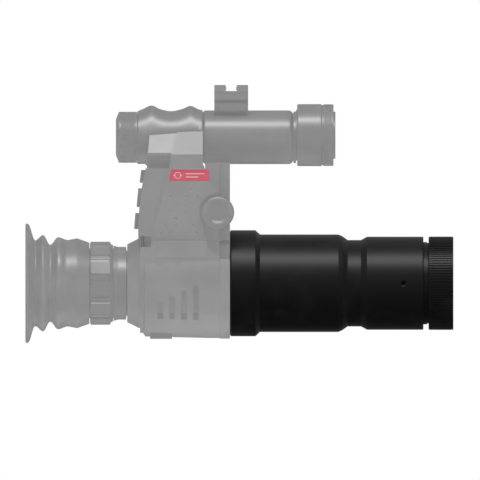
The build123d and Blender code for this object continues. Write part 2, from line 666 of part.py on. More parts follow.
knob_seat = tower_half + 0.4
with BuildPart() as focus_knob:
    cross_pin(knob_x, knob_z, -knob_seat, -knob_seat - knob_height, knob_radius)
    fillet(focus_knob.edges().filter_by(GeomType.CIRCLE).sort_by(Axis.Y)[0], radius=1.9)
    cross_pin(knob_x, knob_z, -knob_seat - knob_height - 1, -knob_seat - knob_height + 0.9, knob_dish,
              mode=Mode.SUBTRACT)
    cross_pin(knob_x, knob_z, -gear_outer, -knob_seat, shaft_radius)
write("focus_knob", focus_knob.part)

pinion_root = pitch_radius - 0.55
tooth_tip = pitch_radius + 0.3


def on_gear(angle, radius, across):
    """Point of a gear tooth, given its distance from the shaft and its offset across the tooth."""
    return (knob_x + radius * cos(angle) - across * sin(angle), knob_z + radius * sin(angle) + across * cos(angle))


with BuildPart() as pinion:
    cross_pin(knob_x, knob_z, -gear_inner, -gear_outer, pinion_root)
    for n in range(pinion_teeth):
        angle = 2 * pi * (n + 0.5) / pinion_teeth - pi / 2
        extrude(outline(on_gear(angle, pinion_root - 0.1, -0.36), on_gear(angle, tooth_tip, -0.17),
                        on_gear(angle, tooth_tip, 0.17), on_gear(angle, pinion_root - 0.1, 0.36)),
                amount=gear_outer)
    slab(knob_x - 2 * tooth_tip, knob_x + 2 * tooth_tip, -gear_inner, 0, knob_z - 2 * tooth_tip,
         knob_z + 2 * tooth_tip, mode=Mode.SUBTRACT)
write("pinion", pinion.part)

with BuildPart() as knob_bush:
    cross_pin(knob_x, knob_z, -tower_half, -gear_outer - 0.4, shaft_radius + bush_wall)
    cross_pin(knob_x, knob_z, -tower_half - 1, -gear_outer + 1, shaft_radius + run_gap, mode=Mode.SUBTRACT)
write("knob_bush", knob_bush.part)

# ================================================================ objective
base_front = front_x + base_length
tube_rear = base_front + 2.1
seam_x = tube_rear + tube_length
neck_x = seam_x + barrel_length
ring_rear = neck_x + neck_step
ring_front = ring_rear + ring_length
guide_x = neck_x - guide_inset

with BuildPart() as objective_base:
    turn(optic_z, (body_front + 0.2, tube_bore - 2.0), (body_front + 0.2, tube_bore), (front_x, tube_bore),
         (front_x, base_radius - 0.4), (front_x + 0.4, base_radius), (base_front, base_radius),
         (tube_rear, tube_radius), (tube_rear, tube_bore + seat_gap), (front_x + 3.0, tube_bore + seat_gap),
         (front_x + 3.0, tube_bore - 2.0))
write("objective_base", objective_base.part)

with BuildPart() as objective_tube:
    turn(optic_z, (front_x + 3.0, tube_bore - 1.6), (front_x + 3.0, tube_bore), (tube_rear, tube_bore),
         (tube_rear, tube_radius), (seam_x - 1.6, tube_radius), (seam_x, tube_radius - 0.8),
         (seam_x, tube_bore - 1.6))
write("objective_tube", objective_tube.part)

with BuildPart() as front_barrel:
    spigot = tube_bore - 1.6 - seat_gap
    turn(optic_z, (seam_x - 8.0, front_bore), (seam_x - 8.0, spigot), (seam_x, spigot),
         (seam_x, tube_radius - 0.8), (seam_x + 2.4, waist_radius), (seam_x + 8.6, waist_radius),
         (seam_x + 11.5, front_radius), (neck_x, front_radius), (neck_x, lens_neck_radius),
         (ring_rear + cell_neck_inset, lens_neck_radius), (ring_rear + cell_neck_inset, front_bore))
    cross_pin(guide_x, optic_z, -front_radius - 1, -front_bore + 1, guide_radius + seat_gap, mode=Mode.SUBTRACT)
    cross_pin(guide_x, optic_z, -front_radius - 1, -front_radius + 0.5, guide_radius * 1.5, mode=Mode.SUBTRACT)
write("front_barrel", front_barrel.part)

cell_front = ring_rear + cell_neck_inset + focus_travel + 0.3 + 1.8
with BuildPart() as objective_cell:
    turn(optic_z, (seam_x + 16.0, rear_seat), (seam_x + 16.0, front_bore - run_gap),
         (cell_front - 1.8, front_bore - run_gap), (cell_front - 1.8, ring_thread_radius - run_gap),
         (cell_front, ring_thread_radius - run_gap), (cell_front, lens_seat), (cell_front - 8.0, lens_seat),
         (cell_front - 8.0, rear_seat))
    slot_reach = guide_radius + run_gap + focus_travel
    slab(guide_x - slot_reach, guide_x + slot_reach, -front_bore, -front_bore + 1.3,
         optic_z - guide_radius - 0.1, optic_z + guide_radius + 0.1, mode=Mode.SUBTRACT)
write("objective_cell", objective_cell.part)

with BuildPart() as guide_screw:
    cross_pin(guide_x, optic_z, -front_radius + 0.6, -front_bore + 0.9, guide_radius)
write("guide_screw", guide_screw.part)

glass_front = cell_front - 2.2
with BuildPart() as front_lens:
    lens(optic_z, cell_front - 8.0, glass_front, lens_seat - seat_gap, 0, 2.2)
write("front_lens", front_lens.part)
with BuildPart() as lens_retainer:
    turn(optic_z, (glass_front - 1.5, lens_seat - 0.9), (glass_front - 1.5, lens_seat - seat_gap),
         (cell_front, lens_seat - seat_gap), (cell_front, lens_seat - 0.5))
write("lens_retainer", lens_retainer.part)
with BuildPart() as rear_doublet:
    lens(optic_z, seam_x + 17.0, seam_x + 23.0, rear_seat - seat_gap, 1.6, 1.6)
write("rear_doublet", rear_doublet.part)

with BuildPart() as focus_ring:
    turn(optic_z, (ring_rear, lens_neck_radius + run_gap), (ring_rear, ring_radius - 0.3),
         (ring_rear + 0.3, ring_radius), (ring_front - 0.3, ring_radius), (ring_front, ring_radius - 0.3),
         (ring_front, filter_radius), (ring_front - 3.6, filter_radius), (ring_front - 3.6, ring_thread_radius),
         (ring_rear + cell_neck_inset + 0.2, ring_thread_radius),
         (ring_rear + cell_neck_inset + 0.2, lens_neck_radius + run_gap))
write("focus_ring", focus_ring.part)

# ================================================================ battery tube, lamp and rail
cap_front = grip_rear - 0.1
cap_rear = cap_front - cap_length
cap_inner = cap_rear + cap_wall

with BuildPart() as battery_tube:
    round_bar(torch_z, cap_inner + 0.6, grip_front, grip_core_radius)
    round_bar(torch_z, grip_front, torch_front, torch_radius)
    fillet(battery_tube.edges().filter_by(GeomType.CIRCLE).filter_by(
        lambda edge: edge.radius > torch_radius - 0.1), radius=0.6)
    round_bar(torch_z, cap_inner, torch_front - 5.0, torch_bore, mode=Mode.SUBTRACT)
    round_bar(torch_z, torch_front - 5.0, torch_front, torch_bore + 1.0, mode=Mode.SUBTRACT)
write("battery_tube", battery_tube.part)

# upper edge of the grip along its length: two finger ridges with a trough between them
grip_crown = (
    (grip_rear, torch_radius - 0.55), (-8.0, torch_radius + 1.05), (-4.4, torch_radius + 2.35),
    (-0.6, torch_radius + 1.05), (4.7, torch_radius - 0.65), (9.8, torch_radius + 1.05), (13.6, torch_radius + 2.15),
    (16.6, torch_radius + 1.35), (grip_front, torch_radius - 0.25),
)
with BuildPart() as grip_sleeve:
    with BuildSketch(Plane.YZ.offset(grip_rear)) as grip_section:
        with Locations((0, torch_z)):
            Circle(torch_radius - 0.2)
        with Locations((0, torch_z + 7.4)):
            Rectangle(15.0, 15.0)
    extrude(amount=grip_front - grip_rear)
    with BuildSketch(Plane.XZ) as crown:
        with BuildLine():
            Spline(*[(x, torch_z + r) for x, r in grip_crown])
            Polyline((grip_front, torch_z + grip_crown[-1][1]), (grip_front, torch_z - 20),
                     (grip_rear, torch_z - 20), (grip_rear, torch_z + grip_crown[0][1]))
        make_face()
    extrude(crown.sketch, amount=30, both=True, mode=Mode.INTERSECT)
    with BuildSketch(Plane.YZ.offset(grip_rear)) as grip_round:
        with Locations((0, torch_z + 1.2)):
            Ellipse(torch_radius + 0.4, torch_radius + 1.3)
        with Locations((0, torch_z)):
            Circle(torch_radius - 0.2)
    extrude(grip_round.sketch, amount=grip_front - grip_rear, mode=Mode.INTERSECT)
    round_bar(torch_z, grip_rear - 1, grip_front + 1, grip_core_radius + seat_gap, mode=Mode.SUBTRACT)
    slab(grip_rear - 1, grip_front + 1, -20, 20, torch_z - 20, saddle_top, mode=Mode.SUBTRACT)
    round_bar(torch_z, grip_rear, grip_front - seat_gap, torch_radius - 0.05)
    round_bar(torch_z, grip_rear - 1, grip_front + 1, grip_core_radius + seat_gap, mode=Mode.SUBTRACT)
write("grip_sleeve", grip_sleeve.part)

with BuildPart() as battery_cap:
    turn(torch_z, (cap_rear, 0), (cap_rear, cap_radius - 1.7), (cap_rear + 1.4, cap_radius),
         (cap_front, cap_radius), (cap_front, grip_core_radius + run_gap), (cap_inner, grip_core_radius + run_gap),
         (cap_inner, 0))
write("battery_cap", battery_cap.part)

spring_radius = 4.6
spring_rear = cap_inner + 0.9
with BuildPart() as cap_contact:
    round_bar(torch_z, cap_inner + run_gap, cap_inner + 0.9, grip_core_radius - 1.6)
write("cap_contact", cap_contact.part)
with BuildPart() as contact_spring:
    turn(torch_z, (spring_rear, spring_radius - 1), (spring_rear, spring_radius),
         (battery_rear - 0.1, spring_radius - 1), (battery_rear - 0.1, spring_radius - 2))
write("contact_spring", contact_spring.part)

with BuildPart() as battery:
    round_bar(torch_z, battery_rear, battery_rear + battery_length - 1.4, battery_radius)
    round_bar(torch_z, battery_rear + battery_length - 1.4, battery_rear + battery_length, 3.2)
write("battery", battery.part)

lamp_z = torch_z + head_rise
plug_rear = torch_front - 5.0
spigot_outer = torch_radius - 0.65
lamp_bore = spigot_outer - 1.7
lamp_glass = lamp_bore - 1.0
with BuildPart() as lamp_neck:
    round_bar(torch_z, plug_rear, torch_front, torch_bore + 1.0 - seat_gap)
    round_bar(torch_z, torch_front, torch_front + 1.2, torch_radius - 0.5)
    round_bar(lamp_z, torch_front + 1.2, torch_front + 11.0, spigot_outer)
    round_bar(lamp_z, torch_front + 2.0, torch_front + 11.0, lamp_bore, mode=Mode.SUBTRACT)
write("lamp_neck", lamp_neck.part)

head_rear = torch_front + 1.2 + head_gap
head_front = head_rear + head_length
with BuildPart() as lamp_head:
    turn(lamp_z, (head_rear, spigot_outer + run_gap), (head_rear, head_radius - 1.0), (head_rear + 1.0, head_radius),
         (head_rear + 11.0, head_radius), (head_rear + 11.3, head_radius - 0.4),
         (head_rear + 11.9, head_radius - 0.4), (head_rear + 12.2, head_radius), (head_front - 0.4, head_radius),
         (head_front, head_radius - 0.4), (head_front, lamp_bore - 0.6), (head_front - 1.6, lamp_bore - 0.6),
         (head_front - 1.6, spigot_outer + run_gap))
write("lamp_head", lamp_head.part)

with BuildPart() as lamp_bezel:
    turn(lamp_z, (head_front, lamp_glass - 0.4), (head_front, bezel_radius),
         (head_front + bezel_proud - 0.2, bezel_radius), (head_front + bezel_proud, bezel_radius - 0.2),
         (head_front + bezel_proud, lamp_glass),
         (head_front + 0.2, lamp_glass - 0.4))
write("lamp_bezel", lamp_bezel.part)

lamp_cell_rear = head_front - 12.0
with BuildPart() as lamp_cell:
    turn(lamp_z, (lamp_cell_rear, lamp_glass - 0.6), (lamp_cell_rear, lamp_bore - run_gap),
         (lamp_cell_rear + 6.0, lamp_bore - run_gap), (lamp_cell_rear + 6.0, lamp_bore + 0.7),
         (head_front - 3.0, lamp_bore + 0.7), (head_front - 3.0, lamp_glass), (lamp_cell_rear + 3.0, lamp_glass),
         (lamp_cell_rear + 3.0, lamp_glass - 0.6))
write("lamp_cell", lamp_cell.part)

with BuildPart() as lamp_lens:
    lens(lamp_z, lamp_cell_rear + 3.0, head_front - 3.0, lamp_glass - seat_gap, 0, 2.8)
write("lamp_lens", lamp_lens.part)

with BuildPart() as lamp_emitter:
    round_bar(lamp_z, torch_front + 2.0, torch_front + 3.6, lamp_glass - 0.2)
    round_bar(lamp_z, torch_front + 3.6, torch_front + 5.0, 2.4)
write("lamp_emitter", lamp_emitter.part)

rail_front = rail_rear + rail_length
rail_foot = torch_z + torch_radius
rail_top = rail_foot + rail_height
rail_screw_xs = (rail_rear + 3.0, rail_front - 3.0)
pin_y = sqrt(torch_radius ** 2 - (pin_rise - pin_radius) ** 2)
with BuildPart() as accessory_rail:
    half = [(rail_half_top, rail_top), (rail_half, rail_top - 2.8), (rail_half, rail_top - 4.2),
            (rail_half_top, rail_top - 7.0), (rail_half_top, rail_top - 8.2), (9.4, rail_top - 8.8),
            (9.4, rail_foot - 3.6)]
    extrude(cross(rail_rear, *half, *[(-y, z) for y, z in reversed(half)]), amount=rail_length)
    slab(rail_rear + (rail_length - rail_slot) / 2, rail_rear + (rail_length + rail_slot) / 2, -20, 20,
         rail_top - rail_slot_depth, rail_top + 5, mode=Mode.SUBTRACT)
    round_bar(torch_z, rail_rear - 1, rail_front + 1, torch_radius + seat_gap, mode=Mode.SUBTRACT)
    for x in rail_screw_xs:
        upright_pin(x, 0, rail_top - rail_screw_sink, rail_top + 1, rail_screw_radius + seat_gap,
                    mode=Mode.SUBTRACT)
write("accessory_rail", accessory_rail.part)

# ================================================================ visible screws and pins
with BuildPart() as case_screws:
    for x, z in tower_screw_places:
        cross_pin(x, z, tower_half - screw_sink, tower_half - 0.3, screw_head)
        cross_pin(x, z, tower_half - screw_sink / 2, tower_half, screw_head * 0.45, mode=Mode.SUBTRACT)
    for side in (-1, 1):
        cross_pin(pin_x, torch_z + pin_rise, side * pin_y, side * (pin_y + 0.8), pin_radius)
    for x in rail_screw_xs:
        upright_pin(x, 0, rail_top - rail_screw_sink, rail_top - 0.6, rail_screw_radius)
        upright_pin(x, 0, rail_top - 1.8, rail_top, rail_screw_radius * 0.5, mode=Mode.SUBTRACT)
write("case_screws", case_screws.part)
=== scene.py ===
"""Looks of a digital night spotting scope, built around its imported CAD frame.

Each sub-assembly is a class that takes its places from the frame, makes its visible pieces and
dresses them. Lengths are metres; sizes that are easier to read in millimetres are written times MM.
"""
from __future__ import annotations

import logging
import math
from dataclasses import dataclass, field
from enum import Enum
from typing import Iterable, Optional, Sequence, Union

import bmesh
import bpy
from mathutils import Euler, Matrix, Vector

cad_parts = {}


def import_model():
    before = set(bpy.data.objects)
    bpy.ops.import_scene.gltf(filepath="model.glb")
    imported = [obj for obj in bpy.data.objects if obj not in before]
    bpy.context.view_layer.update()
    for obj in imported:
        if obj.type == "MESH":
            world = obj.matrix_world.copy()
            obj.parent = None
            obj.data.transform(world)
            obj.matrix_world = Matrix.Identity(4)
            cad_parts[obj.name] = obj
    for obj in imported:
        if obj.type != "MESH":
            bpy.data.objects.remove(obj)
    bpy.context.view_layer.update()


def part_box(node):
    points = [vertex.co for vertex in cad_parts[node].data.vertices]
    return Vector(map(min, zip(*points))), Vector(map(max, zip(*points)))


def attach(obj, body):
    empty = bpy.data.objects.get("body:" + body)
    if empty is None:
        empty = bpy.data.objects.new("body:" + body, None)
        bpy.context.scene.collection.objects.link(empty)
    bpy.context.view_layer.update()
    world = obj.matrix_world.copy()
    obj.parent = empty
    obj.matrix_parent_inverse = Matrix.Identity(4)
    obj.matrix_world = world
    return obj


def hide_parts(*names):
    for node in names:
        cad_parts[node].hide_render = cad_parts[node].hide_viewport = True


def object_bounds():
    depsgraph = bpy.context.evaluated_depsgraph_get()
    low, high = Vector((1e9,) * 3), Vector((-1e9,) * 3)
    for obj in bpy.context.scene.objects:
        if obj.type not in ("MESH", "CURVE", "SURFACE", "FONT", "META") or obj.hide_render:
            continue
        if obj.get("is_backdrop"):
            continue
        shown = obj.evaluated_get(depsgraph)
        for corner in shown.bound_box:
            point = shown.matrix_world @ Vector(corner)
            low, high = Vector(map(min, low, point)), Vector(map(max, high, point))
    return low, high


MM = 0.001
FINISH_MARK = "finish_"
LOG = logging.getLogger("spotting_scope")

Number = Union[float, "Wire"]
Profile = Sequence[Sequence[float]]


# ---------------------------------------------------------------- node graphs
class Wire:
    """A socket that carries a number; arithmetic on it adds Math nodes to its graph."""

    def __init__(self, graph: "Graph", socket: bpy.types.NodeSocket) -> None:
        """Keep the graph and the socket together."""
        self.graph = graph
        self.socket = socket

    def _math(self, operation: str, *operands: Number) -> "Wire":
        """Add one Math node.

        Args:
            operation: The node's operation.
            operands: Its numbers or wires, in order.

        Returns:
            The wire that carries the result.
        """
        return self.graph.node("ShaderNodeMath", {"operation": operation}, dict(enumerate(operands)))

    def __add__(self, other: Number) -> "Wire":
        """Return self + other."""
        return self._math("ADD", self, other)

    __radd__ = __add__

    def __sub__(self, other: Number) -> "Wire":
        """Return self - other."""
        return self._math("SUBTRACT", self, other)

    def __rsub__(self, other: Number) -> "Wire":
        """Return other - self."""
        return self._math("SUBTRACT", other, self)

    def __mul__(self, other: Number) -> "Wire":
        """Return self * other."""
        return self._math("MULTIPLY", self, other)

    __rmul__ = __mul__

    def __truediv__(self, other: Number) -> "Wire":
        """Return self / other."""
        return self._math("DIVIDE", self, other)

    def __mod__(self, other: Number) -> "Wire":
        """Return self modulo other."""
        return self._math("MODULO", self, other)

    def floor(self) -> "Wire":
        """Return the whole number below."""
        return self._math("FLOOR", self)

    def sin(self) -> "Wire":
        """Return the sine."""
        return self._math("SINE", self)

    def cos(self) -> "Wire":
        """Return the cosine."""
        return self._math("COSINE", self)

    def above(self, low: float, high: float) -> "Wire":
        """Return a smooth step from 0 at low to 1 at high."""
        return self.graph.node("ShaderNodeMapRange", {"interpolation_type": "SMOOTHSTEP", "clamp": True},
                               {"Value": self, "From Min": low, "From Max": high})


class Graph:
    """Adds nodes to one shader or geometry tree."""

    def __init__(self, tree: bpy.types.NodeTree) -> None:
        """Keep the tree."""
        self.tree = tree

    def node(self, kind: str, settings: Optional[dict] = None, inputs: Optional[dict] = None,
             output: Union[int, str] = 0) -> Wire:
        """Add a node.

        Args:
            kind: The node's type.
            settings: Attributes set before the sockets; "stops" holds a ramp's (place, colour) pairs.
            inputs: Socket name or index to a value or a wire.
            output: The output to return.

        Returns:
            The wire of that output.
        """
        made = self.tree.nodes.new(kind)
        for key, value in (settings or {}).items():
            if key == "stops":
                self._set_stops(made.color_ramp, value)
            else:
                setattr(made, key, value)
        for key, value in (inputs or {}).items():
            if isinstance(value, Wire):
                self.tree.links.new(value.socket, made.inputs[key])
            else:
                made.inputs[key].default_value = value
        return Wire(self, made.outputs[output])

    @staticmethod
    def _set_stops(ramp: bpy.types.ColorRamp, stops: Sequence[tuple[float, Sequence[float]]]) -> None:
        """Give a colour ramp its stops."""
        for index, (place, colour) in enumerate(stops):
            stop = ramp.elements[index] if index < 2 else ramp.elements.new(place)
            stop.position = place
            stop.color = (*colour, 1.0)

    def vector(self, x: Number, y: Number, z: Number) -> Wire:
        """Join three numbers into a vector."""
        return self.node("ShaderNodeCombineXYZ", None, {0: x, 1: y, 2: z})

    def split(self, vector: Wire, axis: str) -> Wire:
        """Return one component of a vector."""
        return self.node("ShaderNodeSeparateXYZ", None, {0: vector}, output=axis)


# ---------------------------------------------------------------- finishes
@dataclass(frozen=True)
class Finish:
    """One surface finish: a Principled shader with constants here and detail in its subclass."""

    name: str
    slot: str
    colour: tuple[float, float, float]
    roughness: float = 0.5
    specular: float = 0.5
    metallic: float = 0.0

    def material(self) -> bpy.types.Material:
        """Build the material, or return the one already built.

        The loaded CAD materials have names of their own, so the mark keeps these apart from them.

        Returns:
            The node material of this finish.
        """
        label = FINISH_MARK + self.name
        made = bpy.data.materials.get(label)
        if made is not None:
            return made
        made = bpy.data.materials.new(label)
        made.use_nodes = True
        made.diffuse_color = (*self.colour, 1.0)
        graph = Graph(made.node_tree)
        shader = made.node_tree.nodes["Principled BSDF"]
        shader.inputs["Base Color"].default_value = (*self.colour, 1.0)
        shader.inputs["Roughness"].default_value = self.roughness
        shader.inputs["Specular IOR Level"].default_value = self.specular
        shader.inputs["Metallic"].default_value = self.metallic
        self.detail(graph, shader)
        return made

    def detail(self, graph: Graph, shader: bpy.types.Node) -> None:
        """Add what changes over the surface."""

    def place(self, graph: Graph) -> Wire:
        """Return the Object coordinates."""
        return graph.node("ShaderNodeTexCoord", output="Object")

    def stretched(self, graph: Graph, scale: Sequence[float]) -> Wire:
        """Return Object coordinates with each axis scaled."""
        return graph.node("ShaderNodeMapping", None, {"Vector": self.place(graph), "Scale": tuple(scale)})

    def noise(self, graph: Graph, scale: float, detail: float = 2.0, vector: Optional[Wire] = None) -> Wire:
        """Return a noise from 0 to 1; scale is in features per metre."""
        return graph.node("ShaderNodeTexNoise", None, {"Vector": vector or self.place(graph), "Scale": scale,
                                                       "Detail": detail}, output=0)

    def tint(self, graph: Graph, shader: bpy.types.Node, amount: Wire, towards: Sequence[float]) -> None:
        """Mix the base colour towards another where amount is 1."""
        mixed = graph.node("ShaderNodeMix", {"data_type": "RGBA"},
                           {"Factor": amount, 6: (*self.colour, 1.0), 7: (*towards, 1.0)}, output=2)
        graph.tree.links.new(mixed.socket, shader.inputs["Base Color"])

    def rough(self, graph: Graph, shader: bpy.types.Node, value: Wire) -> None:
        """Drive the roughness."""
        graph.tree.links.new(value.socket, shader.inputs["Roughness"])

    def bump(self, graph: Graph, shader: bpy.types.Node, height: Wire, strength: float, depth: float) -> None:
        """Drive the normal from a height; depth is in metres."""
        normal = graph.node("ShaderNodeBump", None,
                            {"Strength": strength, "Distance": depth, "Height": height})
        graph.tree.links.new(normal.socket, shader.inputs["Normal"])


@dataclass(frozen=True)
class Moulded(Finish):
    """Spark-eroded moulded plastic: a fine pebble grain, faint mottling and dust in the grain."""

    grain: float = 2600.0
    grain_depth: float = 0.05 * MM

    def detail(self, graph: Graph, shader: bpy.types.Node) -> None:
        """Add grain, mottling and roughness variation."""
        pebbles = graph.node("ShaderNodeTexVoronoi", {"feature": "SMOOTH_F1"},
                             {"Vector": self.place(graph), "Scale": self.grain, "Smoothness": 0.6})
        fine = self.noise(graph, self.grain * 2.2, 2.0)
        mottle = self.noise(graph, 55.0, 3.0).above(0.35, 0.7)
        self.tint(graph, shader, mottle * 0.5 + pebbles * 0.2, [c * 1.12 + 0.004 for c in self.colour])
        self.rough(graph, shader, self.roughness - 0.05 + 0.1 * self.noise(graph, 160.0))
        self.bump(graph, shader, pebbles + fine * 0.4, 0.22, self.grain_depth)


@dataclass(frozen=True)
class Anodised(Finish):
    """Turned aluminium under a satin anodised skin: fine turning marks and faint handling marks."""

    turning: float = 5200.0
    marks: float = 0.25

    def detail(self, graph: Graph, shader: bpy.types.Node) -> None:
        """Add turning marks, a bead-blasted grain and handling marks."""
        lines = self.noise(graph, 1.0, 2.0, self.stretched(graph, (self.turning, 24.0, 24.0)))
        grain = self.noise(graph, 6500.0, 1.0)
        handled = self.noise(graph, 70.0, 4.0).above(0.48, 0.72)
        self.tint(graph, shader, handled * self.marks, [c * 1.35 + 0.003 for c in self.colour])
        self.rough(graph, shader, self.roughness - 0.04 + 0.06 * grain + 0.05 * handled)
        self.bump(graph, shader, lines * 0.6 + grain * 0.4, 0.10, 0.02 * MM)


@dataclass(frozen=True)
class Rubber(Finish):
    """Moulded rubber: matte, with pores, a bloom of dust in patches and a slight sheen."""

    pores: float = 3400.0

    def detail(self, graph: Graph, shader: bpy.types.Node) -> None:
        """Add pores and bloom."""
        bloom = self.noise(graph, 85.0, 5.0).above(0.42, 0.75)
        pores = self.noise(graph, self.pores, 3.0)
        self.tint(graph, shader, bloom * 0.6, [c * 1.18 + 0.006 for c in self.colour])
        self.rough(graph, shader, self.roughness + 0.12 * bloom)
        self.bump(graph, shader, pores, 0.25, 0.05 * MM)


@dataclass(frozen=True)
class Metal(Finish):
    """Bare turned metal with fine brushed marks."""

    def detail(self, graph: Graph, shader: bpy.types.Node) -> None:
        """Add brushed marks."""
        brushed = self.noise(graph, 1.0, 3.0, self.stretched(graph, (9000.0, 900.0, 900.0)))
        self.rough(graph, shader, self.roughness - 0.08 + 0.18 * brushed)
        self.bump(graph, shader, brushed, 0.12, 0.01 * MM)


@dataclass(frozen=True)
class Foil(Finish):
    """Printed foil under a clear coat, with a faint orange peel."""

    def detail(self, graph: Graph, shader: bpy.types.Node) -> None:
        """Add print grain and peel."""
        shader.inputs["Coat Weight"].default_value = 0.35
        shader.inputs["Coat Roughness"].default_value = 0.25
        print_grain = self.noise(graph, 9000.0, 1.0)
        self.tint(graph, shader, print_grain * 0.35, [c * 0.88 for c in self.colour])
        self.bump(graph, shader, self.noise(graph, 900.0, 1.0), 0.08, 0.02 * MM)


@dataclass(frozen=True)
class Glass(Finish):
    """Coated optical glass: dark, very smooth, with a coloured coating that is patchy."""

    coating: tuple[float, float, float] = (0.10, 0.22, 0.20)
    see_through: float = 0.8

    def detail(self, graph: Graph, shader: bpy.types.Node) -> None:
        """Add the coating."""
        shader.inputs["IOR"].default_value = 1.6
        shader.inputs["Transmission Weight"].default_value = self.see_through
        shader.inputs["Coat Weight"].default_value = 0.6
        shader.inputs["Coat Roughness"].default_value = 0.03
        shader.inputs["Coat Tint"].default_value = (*self.coating, 1.0)
        uneven = self.noise(graph, 45.0, 2.0)
        self.tint(graph, shader, uneven * 0.5, self.coating)


@dataclass(frozen=True)
class Board(Finish):
    """Solder-masked circuit board with faint tracks under the mask."""

    def detail(self, graph: Graph, shader: bpy.types.Node) -> None:
        """Add the tracks."""
        tracks = graph.node("ShaderNodeTexBrick", None, {"Vector": self.stretched(graph, (1.0, 1.0, 1.0)),
                                                         "Scale": 420.0, "Mortar Size": 0.05}, output=1)
        self.tint(graph, shader, tracks * 0.6, [c * 1.7 + 0.01 for c in self.colour])
        self.bump(graph, shader, tracks, 0.2, 0.02 * MM)


BODY_SHELL = Moulded("skin_body", "body_shell", (0.162, 0.162, 0.162), 0.54, 0.32)
TOWER_SHELL = Moulded("skin_tower", "tower_shell", (0.160, 0.160, 0.160), 0.34, 0.50, grain=3000.0)
GREY_METAL = Anodised("skin_grey_metal", "anodised_grey", (0.152, 0.152, 0.152), 0.36, 0.62)
BLACK_METAL = Anodised("skin_black_metal", "anodised_black", (0.0022, 0.0022, 0.0022), 0.40, 0.26, marks=0.4)
INNER_METAL = Anodised("skin_inner_metal", "anodised_black", (0.006, 0.006, 0.006), 0.65, 0.2, marks=0.1)
SOFT_RUBBER = Rubber("rubber_eyecup", "soft_rubber", (0.158, 0.158, 0.158), 0.36, 0.56)
KEY_RUBBER = Rubber("rubber_keys", "key_rubber", (0.145, 0.145, 0.145), 0.55, 0.3)
PORT_RUBBER = Rubber("rubber_port_cover", "body_shell", (0.15, 0.15, 0.15), 0.58, 0.3)
PLATE_RED = Foil("foil_red", "plate_red", (0.385, 0.064, 0.092), 0.42, 0.35)
PLATE_PALE = Foil("foil_pale", "plate_red", (0.44, 0.27, 0.29), 0.45, 0.35)
STEEL = Metal("steel_turned", "steel", (0.50, 0.50, 0.51), 0.34, 0.5, 1.0)
SATIN_STEEL = Metal("steel_satin", "steel", (0.30, 0.30, 0.30), 0.42, 0.6, 0.3)
# Near-black screw at the bottom of the guide hole. Its colour is set darker than the black barrel to stand for the
# shade inside the hole, so it is partly the screw's own dark tone and partly painted shade.
HOLE_SHADE_STEEL = Metal("steel_blackened", "steel", (0.0008, 0.0008, 0.0008), 0.70, 0.05)
BRASS = Metal("brass_turned", "brass_part", (0.62, 0.45, 0.18), 0.32, 0.5, 1.0)
LENS_GLASS = Glass("glass_objective", "optical_glass", (0.02, 0.035, 0.04), 0.03, 0.6,
                   coating=(0.10, 0.30, 0.24))
EYE_GLASS = Glass("glass_eyepiece", "optical_glass", (0.03, 0.03, 0.045), 0.03, 0.6,
                  coating=(0.22, 0.14, 0.34))
LAMP_GLASS = Glass("glass_lamp", "optical_glass", (0.10, 0.03, 0.04), 0.05, 0.6, coating=(0.30, 0.05, 0.08),
                   see_through=0.7)
MASKED_BOARD = Board("board_masked", "board", (0.008, 0.024, 0.015), 0.4)
CHIP = Moulded("chip_package", "chip", (0.03, 0.03, 0.035), 0.35, 0.4, grain=9000.0, grain_depth=0.01 * MM)
INNER_PLASTIC = Moulded("plastic_inner", "inner_plastic", (0.035, 0.035, 0.035), 0.6, 0.3)
BATTERY_WRAP = Foil("battery_sleeve", "battery_wrap", (0.05, 0.14, 0.38), 0.35)
FLOOR_FINISH = Finish("floor_pale", "", (0.64, 0.64, 0.64), 0.85, 0.2)


# ---------------------------------------------------------------- mesh making
class Way(Enum):
    """The two directions in which pieces are turned."""

    LENGTHWISE = "x"
    ACROSS = "y"


@dataclass(frozen=True)
class Spindle:
    """The line that a turned piece is made about."""

    centre: Vector
    way: Way = Way.LENGTHWISE

    def point(self, along: float, radius: float, angle: float) -> Vector:
        """Return the point at a distance along the line, a radius and an angle from upright."""
        up, side = radius * math.cos(angle), radius * math.sin(angle)
        if self.way is Way.LENGTHWISE:
            return Vector((along, self.centre.y - side, self.centre.z + up))
        return Vector((self.centre.x + side, along, self.centre.z + up))


CROSSWISE = Spindle(Vector((0.0, 0.0, 0.0)), Way.ACROSS)
UNTURNED, HALF_TURN, UPRIGHT = (0.0, 0.0, 0.0), (0.0, 0.0, math.pi), (math.pi / 2, 0.0, 0.0)


@dataclass(frozen=True)
class Room:
    """The box that a CAD node fills at rest."""

    low: Vector
    high: Vector

    @classmethod
    def of(cls, node: str) -> "Room":
        """Measure one CAD node."""
        low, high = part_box(node)
        return cls(low, high)

    @property
    def middle(self) -> Vector:
        """Centre of the box."""
        return (self.low + self.high) / 2

    @property
    def radius(self) -> float:
        """Half of the width."""
        return (self.high.y - self.low.y) / 2

    @property
    def spindle(self) -> Spindle:
        """Lengthwise line through the centre."""
        return Spindle(Vector((0.0, 0.0, self.middle.z)))


def eased(corners: Profile, steps: int = 4) -> list[tuple[float, float]]:
    """Round the corners of a closed outline.

    Args:
        corners: (along, radius) or (along, radius, rounding) points.
        steps: Segments of each rounding.

    Returns:
        The outline's points with each rounding worked out.
    """
    count, out = len(corners), []
    for index, corner in enumerate(corners):
        here = Vector(corner[:2])
        size = corner[2] if len(corner) > 2 else 0.0
        if size <= 0.0:
            out.append((here.x, here.y))
            continue
        before, after = Vector(corners[index - 1][:2]), Vector(corners[(index + 1) % count][:2])
        back, ahead = before - here, after - here
        first = here + back.normalized() * min(size, back.length * 0.45)
        last = here + ahead.normalized() * min(size, ahead.length * 0.45)
        for step in range(steps + 1):
            t = step / steps
            point = first * (1 - t) ** 2 + here * (2 * t * (1 - t)) + last * t ** 2
            out.append((point.x, point.y))
    return out


